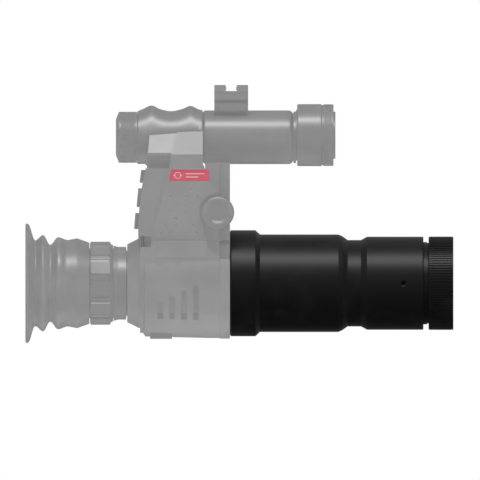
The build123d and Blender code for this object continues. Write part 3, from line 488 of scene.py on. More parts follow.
def new_object(name: str, mesh: bpy.types.Mesh) -> bpy.types.Object:
    """Link a new object that holds a mesh."""
    made = bpy.data.objects.new(name, mesh)
    bpy.context.scene.collection.objects.link(made)
    return made


def from_bmesh(name: str, shape: bmesh.types.BMesh, sharp: float = 32.0) -> bpy.types.Object:
    """Turn a bmesh into a smooth-shaded object with its sharp edges marked.

    Args:
        name: The object's name.
        shape: The bmesh, which is freed.
        sharp: Angle in degrees above which an edge stays sharp.

    Returns:
        The new object.
    """
    bmesh.ops.recalc_face_normals(shape, faces=shape.faces)
    mesh = bpy.data.meshes.new(name)
    shape.to_mesh(mesh)
    shape.free()
    smooth(mesh, sharp)
    return new_object(name, mesh)


def smooth(mesh: bpy.types.Mesh, sharp: float = 32.0) -> None:
    """Shade a mesh smooth except across edges above an angle in degrees."""
    mesh.polygons.foreach_set("use_smooth", [True] * len(mesh.polygons))
    mesh.set_sharp_from_angle(angle=math.radians(sharp))


def lathe(name: str, outline: Profile, spindle: Spindle, segments: int = 160,
          sharp: float = 32.0) -> bpy.types.Object:
    """Turn a closed outline about a spindle.

    Args:
        name: The object's name.
        outline: (along, radius) points in order; a radius of 0 makes a pole.
        spindle: The line to turn about.
        segments: Steps round the spindle.
        sharp: Angle in degrees above which an edge stays sharp.

    Returns:
        The turned solid.
    """
    shape = bmesh.new()
    rings = []
    for along, radius in outline:
        if radius < 1e-7:
            rings.append([shape.verts.new(spindle.point(along, 0.0, 0.0))])
        else:
            rings.append([shape.verts.new(spindle.point(along, radius, 2 * math.pi * k / segments))
                          for k in range(segments)])
    for first, second in zip(rings, rings[1:] + rings[:1]):
        for k in range(segments):
            following = (k + 1) % segments
            corners = [first[k % len(first)], first[following % len(first)],
                       second[following % len(second)], second[k % len(second)]]
            unique = list(dict.fromkeys(corners))
            if len(unique) > 2:
                shape.faces.new(unique)
    return from_bmesh(name, shape, sharp)


def prism(name: str, width: float, length: float, height: float, top: float = 1.0, chamfer: float = 0.0,
          sunk: float = 0.0) -> bpy.types.Object:
    """Make a small rib that stands on z = 0 and is drawn in towards its top.

    Args:
        name: The object's name.
        width: Size along y at the foot.
        length: Size along x at the foot.
        height: Height over z = 0.
        top: Share of the width at the top.
        chamfer: How far the ends are drawn in at the top.
        sunk: Depth under z = 0.

    Returns:
        The rib.
    """
    shape = bmesh.new()
    levels = []
    for z, half_y, half_x in ((-sunk, width / 2, length / 2), (0.0, width / 2, length / 2),
                              (height, width * top / 2, length / 2 - chamfer)):
        levels.append([shape.verts.new((sx * half_x, sy * half_y, z)) for sx, sy in
                       ((-1, -1), (1, -1), (1, 1), (-1, 1))])
    for low, high in zip(levels, levels[1:]):
        for k in range(4):
            shape.faces.new((low[k], low[(k + 1) % 4], high[(k + 1) % 4], high[k]))
    shape.faces.new(levels[0][::-1])
    shape.faces.new(levels[-1])
    return from_bmesh(name, shape, 30.0)


def slab(name: str, low: Vector, high: Vector) -> bpy.types.Object:
    """Make a box between two corners."""
    shape = bmesh.new()
    size, middle = high - low, (high + low) / 2
    bmesh.ops.create_cube(shape, size=1.0, matrix=Matrix.Translation(middle) @ Matrix.Diagonal((*size, 1.0)))
    return from_bmesh(name, shape, 30.0)


def settled(piece: bpy.types.Object, sharp: float = 32.0) -> bpy.types.Object:
    """Replace a piece's mesh by its evaluated one, without its modifiers.

    Args:
        piece: The object whose modifiers are applied.
        sharp: Angle in degrees above which an edge stays sharp.

    Returns:
        The same object.
    """
    bpy.context.view_layer.update()
    evaluated = piece.evaluated_get(bpy.context.evaluated_depsgraph_get())
    mesh = bpy.data.meshes.new_from_object(evaluated)
    piece.modifiers.clear()
    piece.data = mesh
    mesh.name = piece.name
    smooth(mesh, sharp)
    return piece


def discard(piece: bpy.types.Object) -> None:
    """Remove a helper object."""
    bpy.data.objects.remove(piece, do_unlink=True)


def evened(piece: bpy.types.Object) -> bpy.types.Object:
    """Let the large faces of a hard piece keep their own direction, so that only its edges shade round.

    Args:
        piece: The finished hard piece.

    Returns:
        The same object.
    """
    weighted = piece.modifiers.new("weighted", "WEIGHTED_NORMAL")
    weighted.keep_sharp = True
    weighted.weight = 100
    bpy.context.view_layer.update()
    mesh = bpy.data.meshes.new_from_object(piece.evaluated_get(bpy.context.evaluated_depsgraph_get()))
    piece.modifiers.clear()
    piece.data = mesh
    return piece


def rounded_fold(shape: bmesh.types.BMesh, height: float, width: float) -> None:
    """Round the long outer fold that runs lengthwise at a height.

    Args:
        shape: The bmesh to work on.
        height: Height of the fold.
        width: How far the rounding reaches from the fold on each side.
    """
    near, shortest = 0.2 * MM, 5.0 * MM
    folds = [edge for edge in shape.edges
             if len(edge.link_faces) == 2 and edge.is_convex and edge.calc_length() > shortest
             and all(abs(vert.co.z - height) < near for vert in edge.verts)
             and 20.0 < math.degrees(edge.calc_face_angle()) < 50.0]
    if folds:
        bmesh.ops.bevel(shape, geom=folds, offset=width, segments=8, profile=0.5, affect="EDGES",
                        clamp_overlap=True)
    else:
        LOG.warning("no fold at %.1f mm", height / MM)


def softened(node: str, width: float, segments: int = 2, angle: float = 28.0,
             fold: Optional[tuple[float, float]] = None) -> bpy.types.Object:
    """Copy a CAD node with its sharp edges broken by a small bevel.

    Args:
        node: The CAD node's name.
        width: The bevel's width.
        segments: The bevel's steps.
        angle: Edges sharper than this many degrees are bevelled.
        fold: Height and reach of a fold that is rounded first.

    Returns:
        The softened copy.
    """
    shape = bmesh.new()
    shape.from_mesh(bpy.data.objects[node].data)
    bmesh.ops.remove_doubles(shape, verts=shape.verts, dist=2e-6)
    bmesh.ops.dissolve_limit(shape, angle_limit=math.radians(0.6), verts=shape.verts, edges=shape.edges)
    if fold:
        rounded_fold(shape, *fold)
    mesh = bpy.data.meshes.new(node + "_soft")
    shape.to_mesh(mesh)
    shape.free()
    copy = new_object(node + "_soft", mesh)
    smooth(mesh)
    bevel = copy.modifiers.new("edges", "BEVEL")
    bevel.width = width
    bevel.segments = segments
    bevel.limit_method = "ANGLE"
    bevel.angle_limit = math.radians(angle)
    bevel.use_clamp_overlap = True
    bevel.miter_outer = "MITER_ARC"
    return evened(settled(copy, 35.0))


def cut(piece: bpy.types.Object, cutter: bpy.types.Object) -> bpy.types.Object:
    """Take a cutter's shape out of a piece and remove the cutter.

    Args:
        piece: The object to cut.
        cutter: The closed solid to take away.

    Returns:
        The cut piece.
    """
    knife = piece.modifiers.new("cut", "BOOLEAN")
    knife.operation = "DIFFERENCE"
    knife.solver = "EXACT"
    knife.object = cutter
    settled(piece)
    discard(cutter)
    return piece


# ---------------------------------------------------------------- geometry node patterns
def pattern_tree(name: str, inputs: Sequence[tuple[str, str]]) -> tuple[Graph, dict[str, Wire]]:
    """Start a geometry node tree with named inputs.

    Args:
        name: The tree's name.
        inputs: (name, socket type) pairs that follow the geometry input.

    Returns:
        The graph, and each input's wire by name.
    """
    tree = bpy.data.node_groups.new(name, "GeometryNodeTree")
    tree.interface.new_socket("Geometry", in_out="INPUT", socket_type="NodeSocketGeometry")
    for label, kind in inputs:
        tree.interface.new_socket(label, in_out="INPUT", socket_type=kind)
    tree.interface.new_socket("Geometry", in_out="OUTPUT", socket_type="NodeSocketGeometry")
    graph = Graph(tree)
    start = tree.nodes.new("NodeGroupInput")
    return graph, {socket.name: Wire(graph, socket) for socket in start.outputs if socket.name}


def finish_tree(graph: Graph, copies: Wire, given: dict[str, Wire], with_host: bool) -> None:
    """End a pattern tree: make the copies real and dress them.

    Args:
        graph: The tree's graph.
        copies: The instances.
        given: The tree's inputs by name.
        with_host: Whether the copies are joined to the geometry that came in.
    """
    if with_host:
        join = graph.tree.nodes.new("GeometryNodeJoinGeometry")
        graph.tree.links.new(copies.socket, join.inputs[0])
        graph.tree.links.new(given["Geometry"].socket, join.inputs[0])
        copies = Wire(graph, join.outputs[0])
    real = graph.node("GeometryNodeRealizeInstances", None, {0: copies})
    dressed = graph.node("GeometryNodeSetMaterial", None, {"Geometry": real, "Material": given["Finish"]})
    end = graph.tree.nodes.new("NodeGroupOutput")
    graph.tree.links.new(dressed.socket, end.inputs[0])


def run_tree(host: bpy.types.Object, tree: bpy.types.NodeTree, values: dict[str, object]) -> bpy.types.Object:
    """Run a geometry node tree on an object and keep the plain mesh.

    Args:
        host: The object that gets the modifier.
        tree: The geometry node tree.
        values: Input name to value.

    Returns:
        The host with the resulting mesh.
    """
    modifier = host.modifiers.new("pattern", "NODES")
    modifier.node_group = tree
    for item in tree.interface.items_tree:
        if item.item_type == "SOCKET" and item.in_out == "INPUT" and item.name in values:
            modifier[item.identifier] = values[item.name]
    return settled(host)


@dataclass(frozen=True)
class RingPattern:
    """Copies of a small shape in rows round a lengthwise line."""

    around: int
    radius: float
    height: float
    start: float
    pitch: float = 0.0
    rows: int = 1
    stagger: float = 0.0
    phase: float = 0.0

    @staticmethod
    def tree() -> bpy.types.NodeTree:
        """Build the node tree once and return it."""
        made = bpy.data.node_groups.get("ring_pattern")
        if made is not None:
            return made
        graph, given = pattern_tree("ring_pattern", (
            ("Shape", "NodeSocketObject"), ("Around", "NodeSocketInt"), ("Rows", "NodeSocketInt"),
            ("Radius", "NodeSocketFloat"), ("Height", "NodeSocketFloat"), ("Start", "NodeSocketFloat"),
            ("Pitch", "NodeSocketFloat"), ("Stagger", "NodeSocketFloat"), ("Phase", "NodeSocketFloat"),
            ("Finish", "NodeSocketMaterial")))
        index = graph.node("GeometryNodeInputIndex")
        row = (index / given["Around"]).floor()
        step = index % given["Around"]
        angle = (step + row * given["Stagger"] + given["Phase"]) * (2 * math.pi) / given["Around"]
        place = graph.vector(given["Start"] + row * given["Pitch"], given["Radius"] * angle.sin() * -1.0,
                             given["Height"] + given["Radius"] * angle.cos())
        points = graph.node("GeometryNodePoints", None, {"Count": given["Around"] * given["Rows"],
                                                         "Position": place})
        shape = graph.node("GeometryNodeObjectInfo", None, {"Object": given["Shape"]}, output="Geometry")
        copies = graph.node("GeometryNodeInstanceOnPoints", None,
                            {"Points": points, "Instance": shape, "Rotation": graph.vector(angle, 0.0, 0.0)})
        finish_tree(graph, copies, given, with_host=True)
        return graph.tree

    def on(self, host: bpy.types.Object, shape: bpy.types.Object, finish: Finish) -> bpy.types.Object:
        """Add the copies to a host and remove the shape they were made from."""
        run_tree(host, self.tree(), {
            "Shape": shape, "Around": self.around, "Rows": self.rows, "Radius": self.radius,
            "Height": self.height, "Start": self.start, "Pitch": self.pitch, "Stagger": self.stagger,
            "Phase": self.phase, "Finish": finish.material()})
        discard(shape)
        return host


@dataclass(frozen=True)
class SpotPattern:
    """Copies of a small shape at chosen spots, all turned the same way."""

    spots: Sequence[Vector]
    turn: tuple[float, float, float] = UNTURNED

    @staticmethod
    def tree() -> bpy.types.NodeTree:
        """Build the node tree once and return it."""
        made = bpy.data.node_groups.get("spot_pattern")
        if made is not None:
            return made
        graph, given = pattern_tree("spot_pattern", (
            ("Shape", "NodeSocketObject"), ("Turn", "NodeSocketVector"), ("Finish", "NodeSocketMaterial")))
        points = graph.node("GeometryNodeMeshToPoints", None, {"Mesh": given["Geometry"]})
        shape = graph.node("GeometryNodeObjectInfo", None, {"Object": given["Shape"]}, output="Geometry")
        copies = graph.node("GeometryNodeInstanceOnPoints", None,
                            {"Points": points, "Instance": shape, "Rotation": given["Turn"]})
        finish_tree(graph, copies, given, with_host=False)
        return graph.tree

    def build(self, name: str, shape: bpy.types.Object, finish: Finish) -> bpy.types.Object:
        """Make the copies as one object and remove the shape they were made from."""
        mesh = bpy.data.meshes.new(name)
        mesh.from_pydata([tuple(spot) for spot in self.spots], [], [])
        host = new_object(name, mesh)
        run_tree(host, self.tree(), {"Shape": shape, "Turn": self.turn, "Finish": finish.material()})
        discard(shape)
        return host


def joined(name: str, pieces: Sequence[bpy.types.Object]) -> bpy.types.Object:
    """Join mesh objects into the first one and name it."""
    shape = bmesh.new()
    for piece in pieces:
        shape.from_mesh(piece.data)
    mesh = bpy.data.meshes.new(name)
    for material in pieces[0].data.materials:
        mesh.materials.append(material)
    shape.to_mesh(mesh)
    shape.free()
    for piece in pieces:
        discard(piece)
    smooth(mesh)
    return new_object(name, mesh)


# ---------------------------------------------------------------- sub-assemblies
@dataclass
class SubAssembly:
    """A group of pieces that are made, dressed and put on their bodies together."""

    made: list[str] = field(default_factory=list)

    def seat(self, piece: bpy.types.Object, name: str, body: str, finish: Finish,
             nodes: Iterable[str] = ()) -> bpy.types.Object:
        """Name, dress and attach one finished piece.

        Args:
            piece: The object, already in place.
            name: Its name.
            body: The CAD body it rides on.
            finish: Its finish.
            nodes: The CAD nodes it stands for.

        Returns:
            The same object.
        """
        piece.name = name
        piece.data.name = name
        piece.data.materials.clear()
        piece.data.materials.append(finish.material())
        piece.data.polygons.foreach_set("material_index", [0] * len(piece.data.polygons))
        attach(piece, body)
        if nodes:
            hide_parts(*nodes)
        self.made.append(name)
        return piece

    def dress_nodes(self, finish: Finish, *nodes: str) -> None:
        """Give carried-over CAD nodes their finish.

        Args:
            finish: The finish.
            nodes: The CAD nodes that wear it.
        """
        for node in nodes:
            target = bpy.data.objects[node]
            target.data.materials.clear()
            target.data.materials.append(finish.material())
            smooth(target.data, 30.0)
            self.made.append(node)

    def build(self) -> None:
        """Make every piece of the sub-assembly."""
        raise NotImplementedError


@dataclass
class Eyepiece(SubAssembly):
    """Bellows eyecup, fixed tube with its neck, ribbed dioptre ring and the glasses."""

    wall: float = 1.7 * MM
    lip: float = 1.3 * MM
    lugs: int = 12
    lug_height: float = 0.45 * MM
    # distance from the rim and radius at each valley and crest of the bellows
    folds: tuple[tuple[float, float], ...] = (
        (4.6 * MM, 20.1 * MM), (8.3 * MM, 22.5 * MM), (11.6 * MM, 18.0 * MM), (15.3 * MM, 21.5 * MM),
        (20.0 * MM, 20.2 * MM), (24.2 * MM, 21.0 * MM), (29.9 * MM, 19.0 * MM))

    def wave(self, stations: Sequence[tuple[float, float]], steps: int = 14) -> list[tuple[float, float]]:
        """Join crests and valleys by half waves.

        Args:
            stations: (along, radius) of each crest and valley.
            steps: Points on each half wave.

        Returns:
            The points of the smooth line.
        """
        out = [stations[0]]
        for (x0, r0), (x1, r1) in zip(stations, stations[1:]):
            for step in range(1, steps + 1):
                t = step / steps
                out.append((x0 + (x1 - x0) * t, r0 + (r1 - r0) * (0.5 - 0.5 * math.cos(math.pi * t))))
        return out

    def eyecup(self) -> None:
        """Make the folded rubber cup."""
        room, tube = Room.of("eyecup"), Room.of("eyepiece_tube")
        rear, rim = room.low.x, room.radius
        outer = [(rear + self.lip, rim - 0.4 * MM)] + [(rear + x, r) for x, r in self.folds]
        outer = self.wave(outer[:6]) + outer[6:]
        shoulder = tube.low.x - 0.4 * MM
        inner = [(rear + x, r - self.wall) for x, r in self.folds[:4]]
        inner = self.wave([(rear + 0.9 * MM, rim - 1.5 * MM)] + inner)
        inner = [point for point in inner if point[0] < shoulder - 0.6 * MM]
        sleeve = 16.45 * MM
        outline = [(rear + 0.35 * MM, rim - 0.15 * MM), (rear + 0.8 * MM, rim)] + outer
        end = outer[-1][0]
        outline += [(end, sleeve + 0.6 * MM), (end - 0.3 * MM, sleeve), (shoulder, sleeve)]
        outline += inner[::-1] + [(rear + 0.15 * MM, rim - 1.2 * MM), (rear, rim - 0.7 * MM)]
        cup = lathe("eyecup", outline, room.spindle, 192, 27.0)
        self.seat(cup, "eyecup_bellows", "housing", SOFT_RUBBER, ["eyecup"])

    def dioptre(self) -> None:
        """Make the dioptre ring with its lengthwise lugs."""
        room = Room.of("diopter_ring")
        rear, front, radius = room.low.x, room.high.x, room.radius
        bore, root = 16.47 * MM, radius - self.lug_height
        outline = eased([(rear, bore), (rear, root, 0.3 * MM), (front - 1.9 * MM, root, 0.2 * MM),
                         (front, root - 1.0 * MM, 0.2 * MM), (front, bore)])
        ring = lathe("dioptre", outline, room.spindle, 168)
        wide = prism("lug", 6.2 * MM, front - rear - 1.6 * MM, self.lug_height, 0.93, 0.2 * MM, 0.8 * MM)
        middle = (rear + front - 1.0 * MM) / 2
        RingPattern(self.lugs, root, room.middle.z, middle, phase=0.25).on(ring, wide, GREY_METAL)
        thin = prism("lug", 1.3 * MM, front - rear - 1.2 * MM, self.lug_height * 0.6, 0.6, 0.15 * MM, 0.8 * MM)
        RingPattern(self.lugs, root, room.middle.z, middle, phase=0.75).on(ring, thin, GREY_METAL)
        self.seat(ring, "dioptre_ring_ribbed", "diopter_ring", GREY_METAL, ["diopter_ring"])

    def build(self) -> None:
        """Make the eyepiece."""
        self.eyecup()
        self.dioptre()
        self.dress_nodes(GREY_METAL, "eyepiece_tube")
        self.dress_nodes(INNER_METAL, "eyepiece_cell", "eyepiece_spacer", "eyepiece_retainer")
        self.dress_nodes(EYE_GLASS, "eye_lens", "field_lens")
        self.dress_nodes(MASKED_BOARD, "display_board")
        self.dress_nodes(CHIP, "display_panel")


@dataclass
class CameraBody(SubAssembly):
    """Finned lower body, rear bell, front flange, foot insert, port cover and strap pins."""

    edge: float = 0.35 * MM
    pad_proud: float = 0.45 * MM

    def flank_pad(self, side: int) -> None:
        """Make the raised band on one flank, under the tower's shield.

        Args:
            side: -1 for the knob's side, 1 for the other.
        """
        body = Room.of("lower_body")
        flank = 23.0 * MM
        low = Vector((-1.6 * MM, side * (flank - 0.3 * MM), body.high.z - 8.3 * MM))
        high = Vector((21.1 * MM, side * (flank + self.pad_proud), body.high.z - 0.25 * MM))
        pad = slab("pad", Vector(map(min, low, high)), Vector(map(max, low, high)))
        bevel = pad.modifiers.new("edges", "BEVEL")
        bevel.width = 0.4 * MM
        bevel.segments = 3
        word = "left" if side < 0 else "right"
        self.seat(evened(settled(pad)), f"flank_band_{word}", "housing", BODY_SHELL)

    def build(self) -> None:
        """Make the camera body."""
        self.seat(softened("lower_body", self.edge), "lower_body_shell", "housing", BODY_SHELL, ["lower_body"])
        self.seat(softened("front_flange", self.edge), "front_flange_plate", "housing", BODY_SHELL,
                  ["front_flange"])
        bell = Room.of("rear_bell")
        outline = eased([(bell.low.x, 15.25 * MM), (bell.low.x, 18.2 * MM, 0.25 * MM),
                         (bell.high.x - 0.6 * MM, bell.radius, 0.4 * MM), (bell.high.x, bell.radius),
                         (bell.high.x, 15.25 * MM)])
        self.seat(lathe("bell", outline, bell.spindle), "rear_bell_cone", "housing", BODY_SHELL, ["rear_bell"])
        self.seat(softened("port_cover", 0.4 * MM, 3), "port_cover_flap", "port_cover", PORT_RUBBER,
                  ["port_cover"])
        for side in (-1, 1):
            self.flank_pad(side)
        self.dress_nodes(BRASS, "tripod_bush", "video_socket")
        self.dress_nodes(STEEL, "strap_pins")


@dataclass
class Tower(SubAssembly):
    """Upright housing with keypad, side shields, name plates, saddle and side knob."""

    edge: float = 0.35 * MM
    dimple: float = 0.72 * MM
    dimple_depth: float = 0.45 * MM
    pitch_x: float = 2.48 * MM
    pitch_z: float = 3.41 * MM
    fold: tuple[float, float] = (86.2 * MM, 1.5 * MM)
    pin_spot: tuple[float, float, float] = (18.1 * MM, 12.0 * MM, 98.4 * MM)
    # (along, height) in millimetres of the cross screws on the far side
    screw_spots: tuple[tuple[float, float], ...] = ((23.6, 50.6), (23.6, 76.2), (-4.6, 55.0), (-3.4, 75.6))
    # columns that are drilled in each row, from the top row down
    rows: tuple[tuple[float, ...], ...] = (
        (6.0,), (2.0, 5.0, 7.0), (3.0, 6.0), (2.0, 5.0), (3.0,), (1.0, 3.0, 6.2), (0.0, 2.0, 4.0, 5.0, 7.0))

    def dimples(self, face: float, side: int) -> bpy.types.Object:
        """Return the cutter of a shield's dimples.

        Args:
            face: Distance of the shield's outer face from the middle plane.
            side: -1 for the knob's side, 1 for the other.

        Returns:
            One object that holds a blunt pin at each dimple.
        """
        corner = Vector((-0.6 * MM, side * face, 69.85 * MM))
        spots = [corner + Vector((column * self.pitch_x, 0.0, -row * self.pitch_z))
                 for row, columns in enumerate(self.rows) for column in columns]
        depth, radius = self.dimple_depth, self.dimple
        pin = lathe("pin", [(-depth, 0.0), (-depth * 0.8, radius * 0.62), (0.0, radius), (depth, radius),
                            (depth, 0.0)], CROSSWISE, 16)
        turn = UNTURNED if side > 0 else HALF_TURN
        return SpotPattern(spots, turn).build("dimple_pins", pin, TOWER_SHELL)

    def shield(self, side: int) -> None:
        """Make one folded side shield with its dimples."""
        word = "left" if side < 0 else "right"
        node = f"side_shield_{word}"
        room = Room.of(node)
        face = max(abs(room.low.y), abs(room.high.y))
        plate = cut(softened(node, 0.5 * MM, 3, 24.0, self.fold), self.dimples(face, side))
        evened(plate)
        self.seat(plate, f"side_shield_{word}_drilled", "housing", TOWER_SHELL, [node])

    def emblem(self, face: float, side: int) -> bpy.types.Object:
        """Return a plain sighting mark and two bars for a name plate.

        Args:
            face: Distance of the plate's outer face from the middle plane.
            side: -1 for the knob's side, 1 for the other.

        Returns:
            The raised mark.
        """
        room = Room.of("nameplates")
        height = room.middle.z
        centre = Vector((room.middle.x - 5.4 * MM, 0.0, height))
        lift = 0.06 * MM
        near, far = side * (face - 0.02 * MM), side * (face + lift)
        ring = lathe("ring", [(near, 1.25 * MM), (near, 1.6 * MM), (far, 1.6 * MM), (far, 1.25 * MM)],
                     Spindle(centre, Way.ACROSS), 40)
        near_tick, far_tick = 0.9 * MM, 2.1 * MM
        bars = [(centre.x - far_tick, centre.x - near_tick, 0.0, 0.3),
                (centre.x + near_tick, centre.x + far_tick, 0.0, 0.3)]
        bars += [(room.middle.x - 1.6 * MM, room.middle.x + 7.0 * MM, 0.75, 0.5),
                 (room.middle.x - 1.6 * MM, room.middle.x + 4.2 * MM, -0.75, 0.5)]
        parts = [ring]
        for x0, x1, rise, thick in bars:
            y0, y1 = min(near, far), max(near, far)
            z0 = height + rise * MM - thick * MM / 2
            parts.append(slab("bar", Vector((x0, y0, z0)), Vector((x1, y1, z0 + thick * MM))))
        return joined("mark", parts)

    def knob(self) -> None:
        """Make the dished side knob with its shaft."""
        room = Room.of("focus_knob")
        spindle = Spindle(Vector((room.middle.x, 0.0, room.middle.z)), Way.ACROSS)
        outer, radius, seat = room.low.y, (room.high.x - room.low.x) / 2, -20.9 * MM
        outline = [(outer + 0.95 * MM, 0.0), (outer + 0.95 * MM, 4.1 * MM, 0.5 * MM),
                   (outer + 0.1 * MM, 5.1 * MM, 0.5 * MM), (outer, 5.9 * MM, 0.5 * MM),
                   (outer + 0.4 * MM, radius - 0.5 * MM, 0.7 * MM), (outer + 1.5 * MM, radius, 0.9 * MM),
                   (seat - 0.4 * MM, radius, 0.3 * MM), (seat, radius - 0.5 * MM, 0.2 * MM), (seat, 1.5 * MM),
                   (room.high.y, 1.5 * MM), (room.high.y, 0.0)]
        knob = lathe("knob", eased(outline, 5), spindle, 128, 40.0)
        self.seat(knob, "side_knob_dished", "focus_knob", GREY_METAL, ["focus_knob"])

    @staticmethod
    def pin_head() -> bpy.types.Object:
        """Make the domed head of a pin beside the grip."""
        base, radius, bevel, top = -0.6 * MM, 1.1 * MM, 0.3 * MM, 0.75 * MM
        dome = eased([(base, 0.0), (base, radius), (0.35 * MM, radius, bevel), (top, 0.5 * MM, bevel), (top, 0.0)])
        return lathe("button", dome, CROSSWISE, 24)

    def screws(self) -> None:
        """Make the screws of the tower, the rail and the saddle."""
        side = Room.of("tower_right").high.y
        head = lathe("head", eased([(-1.1 * MM, 0.0), (-1.1 * MM, 1.9 * MM), (-0.45 * MM, 1.9 * MM, 0.3 * MM),
                                    (-0.25 * MM, 1.1 * MM), (-0.9 * MM, 0.85 * MM), (-0.9 * MM, 0.0)]),
                     CROSSWISE, 24)
        spots = [Vector((x * MM, side, z * MM)) for x, z in self.screw_spots]
        cross = SpotPattern(spots).build("cross_screws", head, STEEL)
        rail = Room.of("accessory_rail")
        cap = lathe("cap", eased([(-1.7 * MM, 0.0), (-1.7 * MM, 2.6 * MM), (-0.05 * MM, 2.6 * MM, 0.3 * MM),
                                  (0.0, 1.3 * MM), (-1.1 * MM, 1.3 * MM), (-1.1 * MM, 0.0)]),
                    CROSSWISE, 24)
        inset, sunk = 3.0 * MM, 0.65 * MM
        tops = [Vector((x, 0.0, rail.high.z - sunk)) for x in (rail.low.x + inset, rail.high.x - inset)]
        caps = SpotPattern(tops, UPRIGHT).build("rail_caps", cap, STEEL)
        out = self.pin_spot
        right = SpotPattern([Vector(out)]).build("pin_right", self.pin_head(), STEEL)
        left = SpotPattern([Vector((out[0], -out[1], out[2]))], HALF_TURN).build("pin_left", self.pin_head(), STEEL)
        group = joined("screws", [cross, caps, right, left])
        self.seat(group, "case_screw_heads", "housing", SATIN_STEEL, ["case_screws"])

    def build(self) -> None:
        """Make the tower."""
        for word in ("left", "right"):
            node = f"tower_{word}"
            self.seat(softened(node, self.edge), f"{node}_shell", "housing", TOWER_SHELL, [node])
        self.seat(softened("keypad_panel", 0.2 * MM), "keypad_plate", "housing", TOWER_SHELL, ["keypad_panel"])
        for word in ("top", "middle", "bottom"):
            node = f"button_{word}"
            self.seat(softened(node, 0.35 * MM, 3), f"{node}_pad", node, KEY_RUBBER, [node])
        self.seat(softened("saddle", 0.3 * MM), "torch_saddle", "housing", TOWER_SHELL, ["saddle"])
        for side in (-1, 1):
            self.shield(side)
        plates = softened("nameplates", 0.12 * MM)
        self.seat(plates, "name_plates_plain", "housing", PLATE_RED, ["nameplates"])
        face = Room.of("nameplates").high.y
        marks = joined("marks", [self.emblem(face, -1), self.emblem(face, 1)])
        self.seat(marks, "name_plate_marks", "housing", PLATE_PALE)
        self.knob()
        self.screws()
        self.dress_nodes(BRASS, "knob_bush", "pinion")
        self.dress_nodes(MASKED_BOARD, "switch_board", "main_board", "sensor_board")
        self.dress_nodes(INNER_PLASTIC, "sensor_carriage", "guide_plate")
        self.dress_nodes(CHIP, "image_sensor")
        self.dress_nodes(STEEL, "guide_rods")


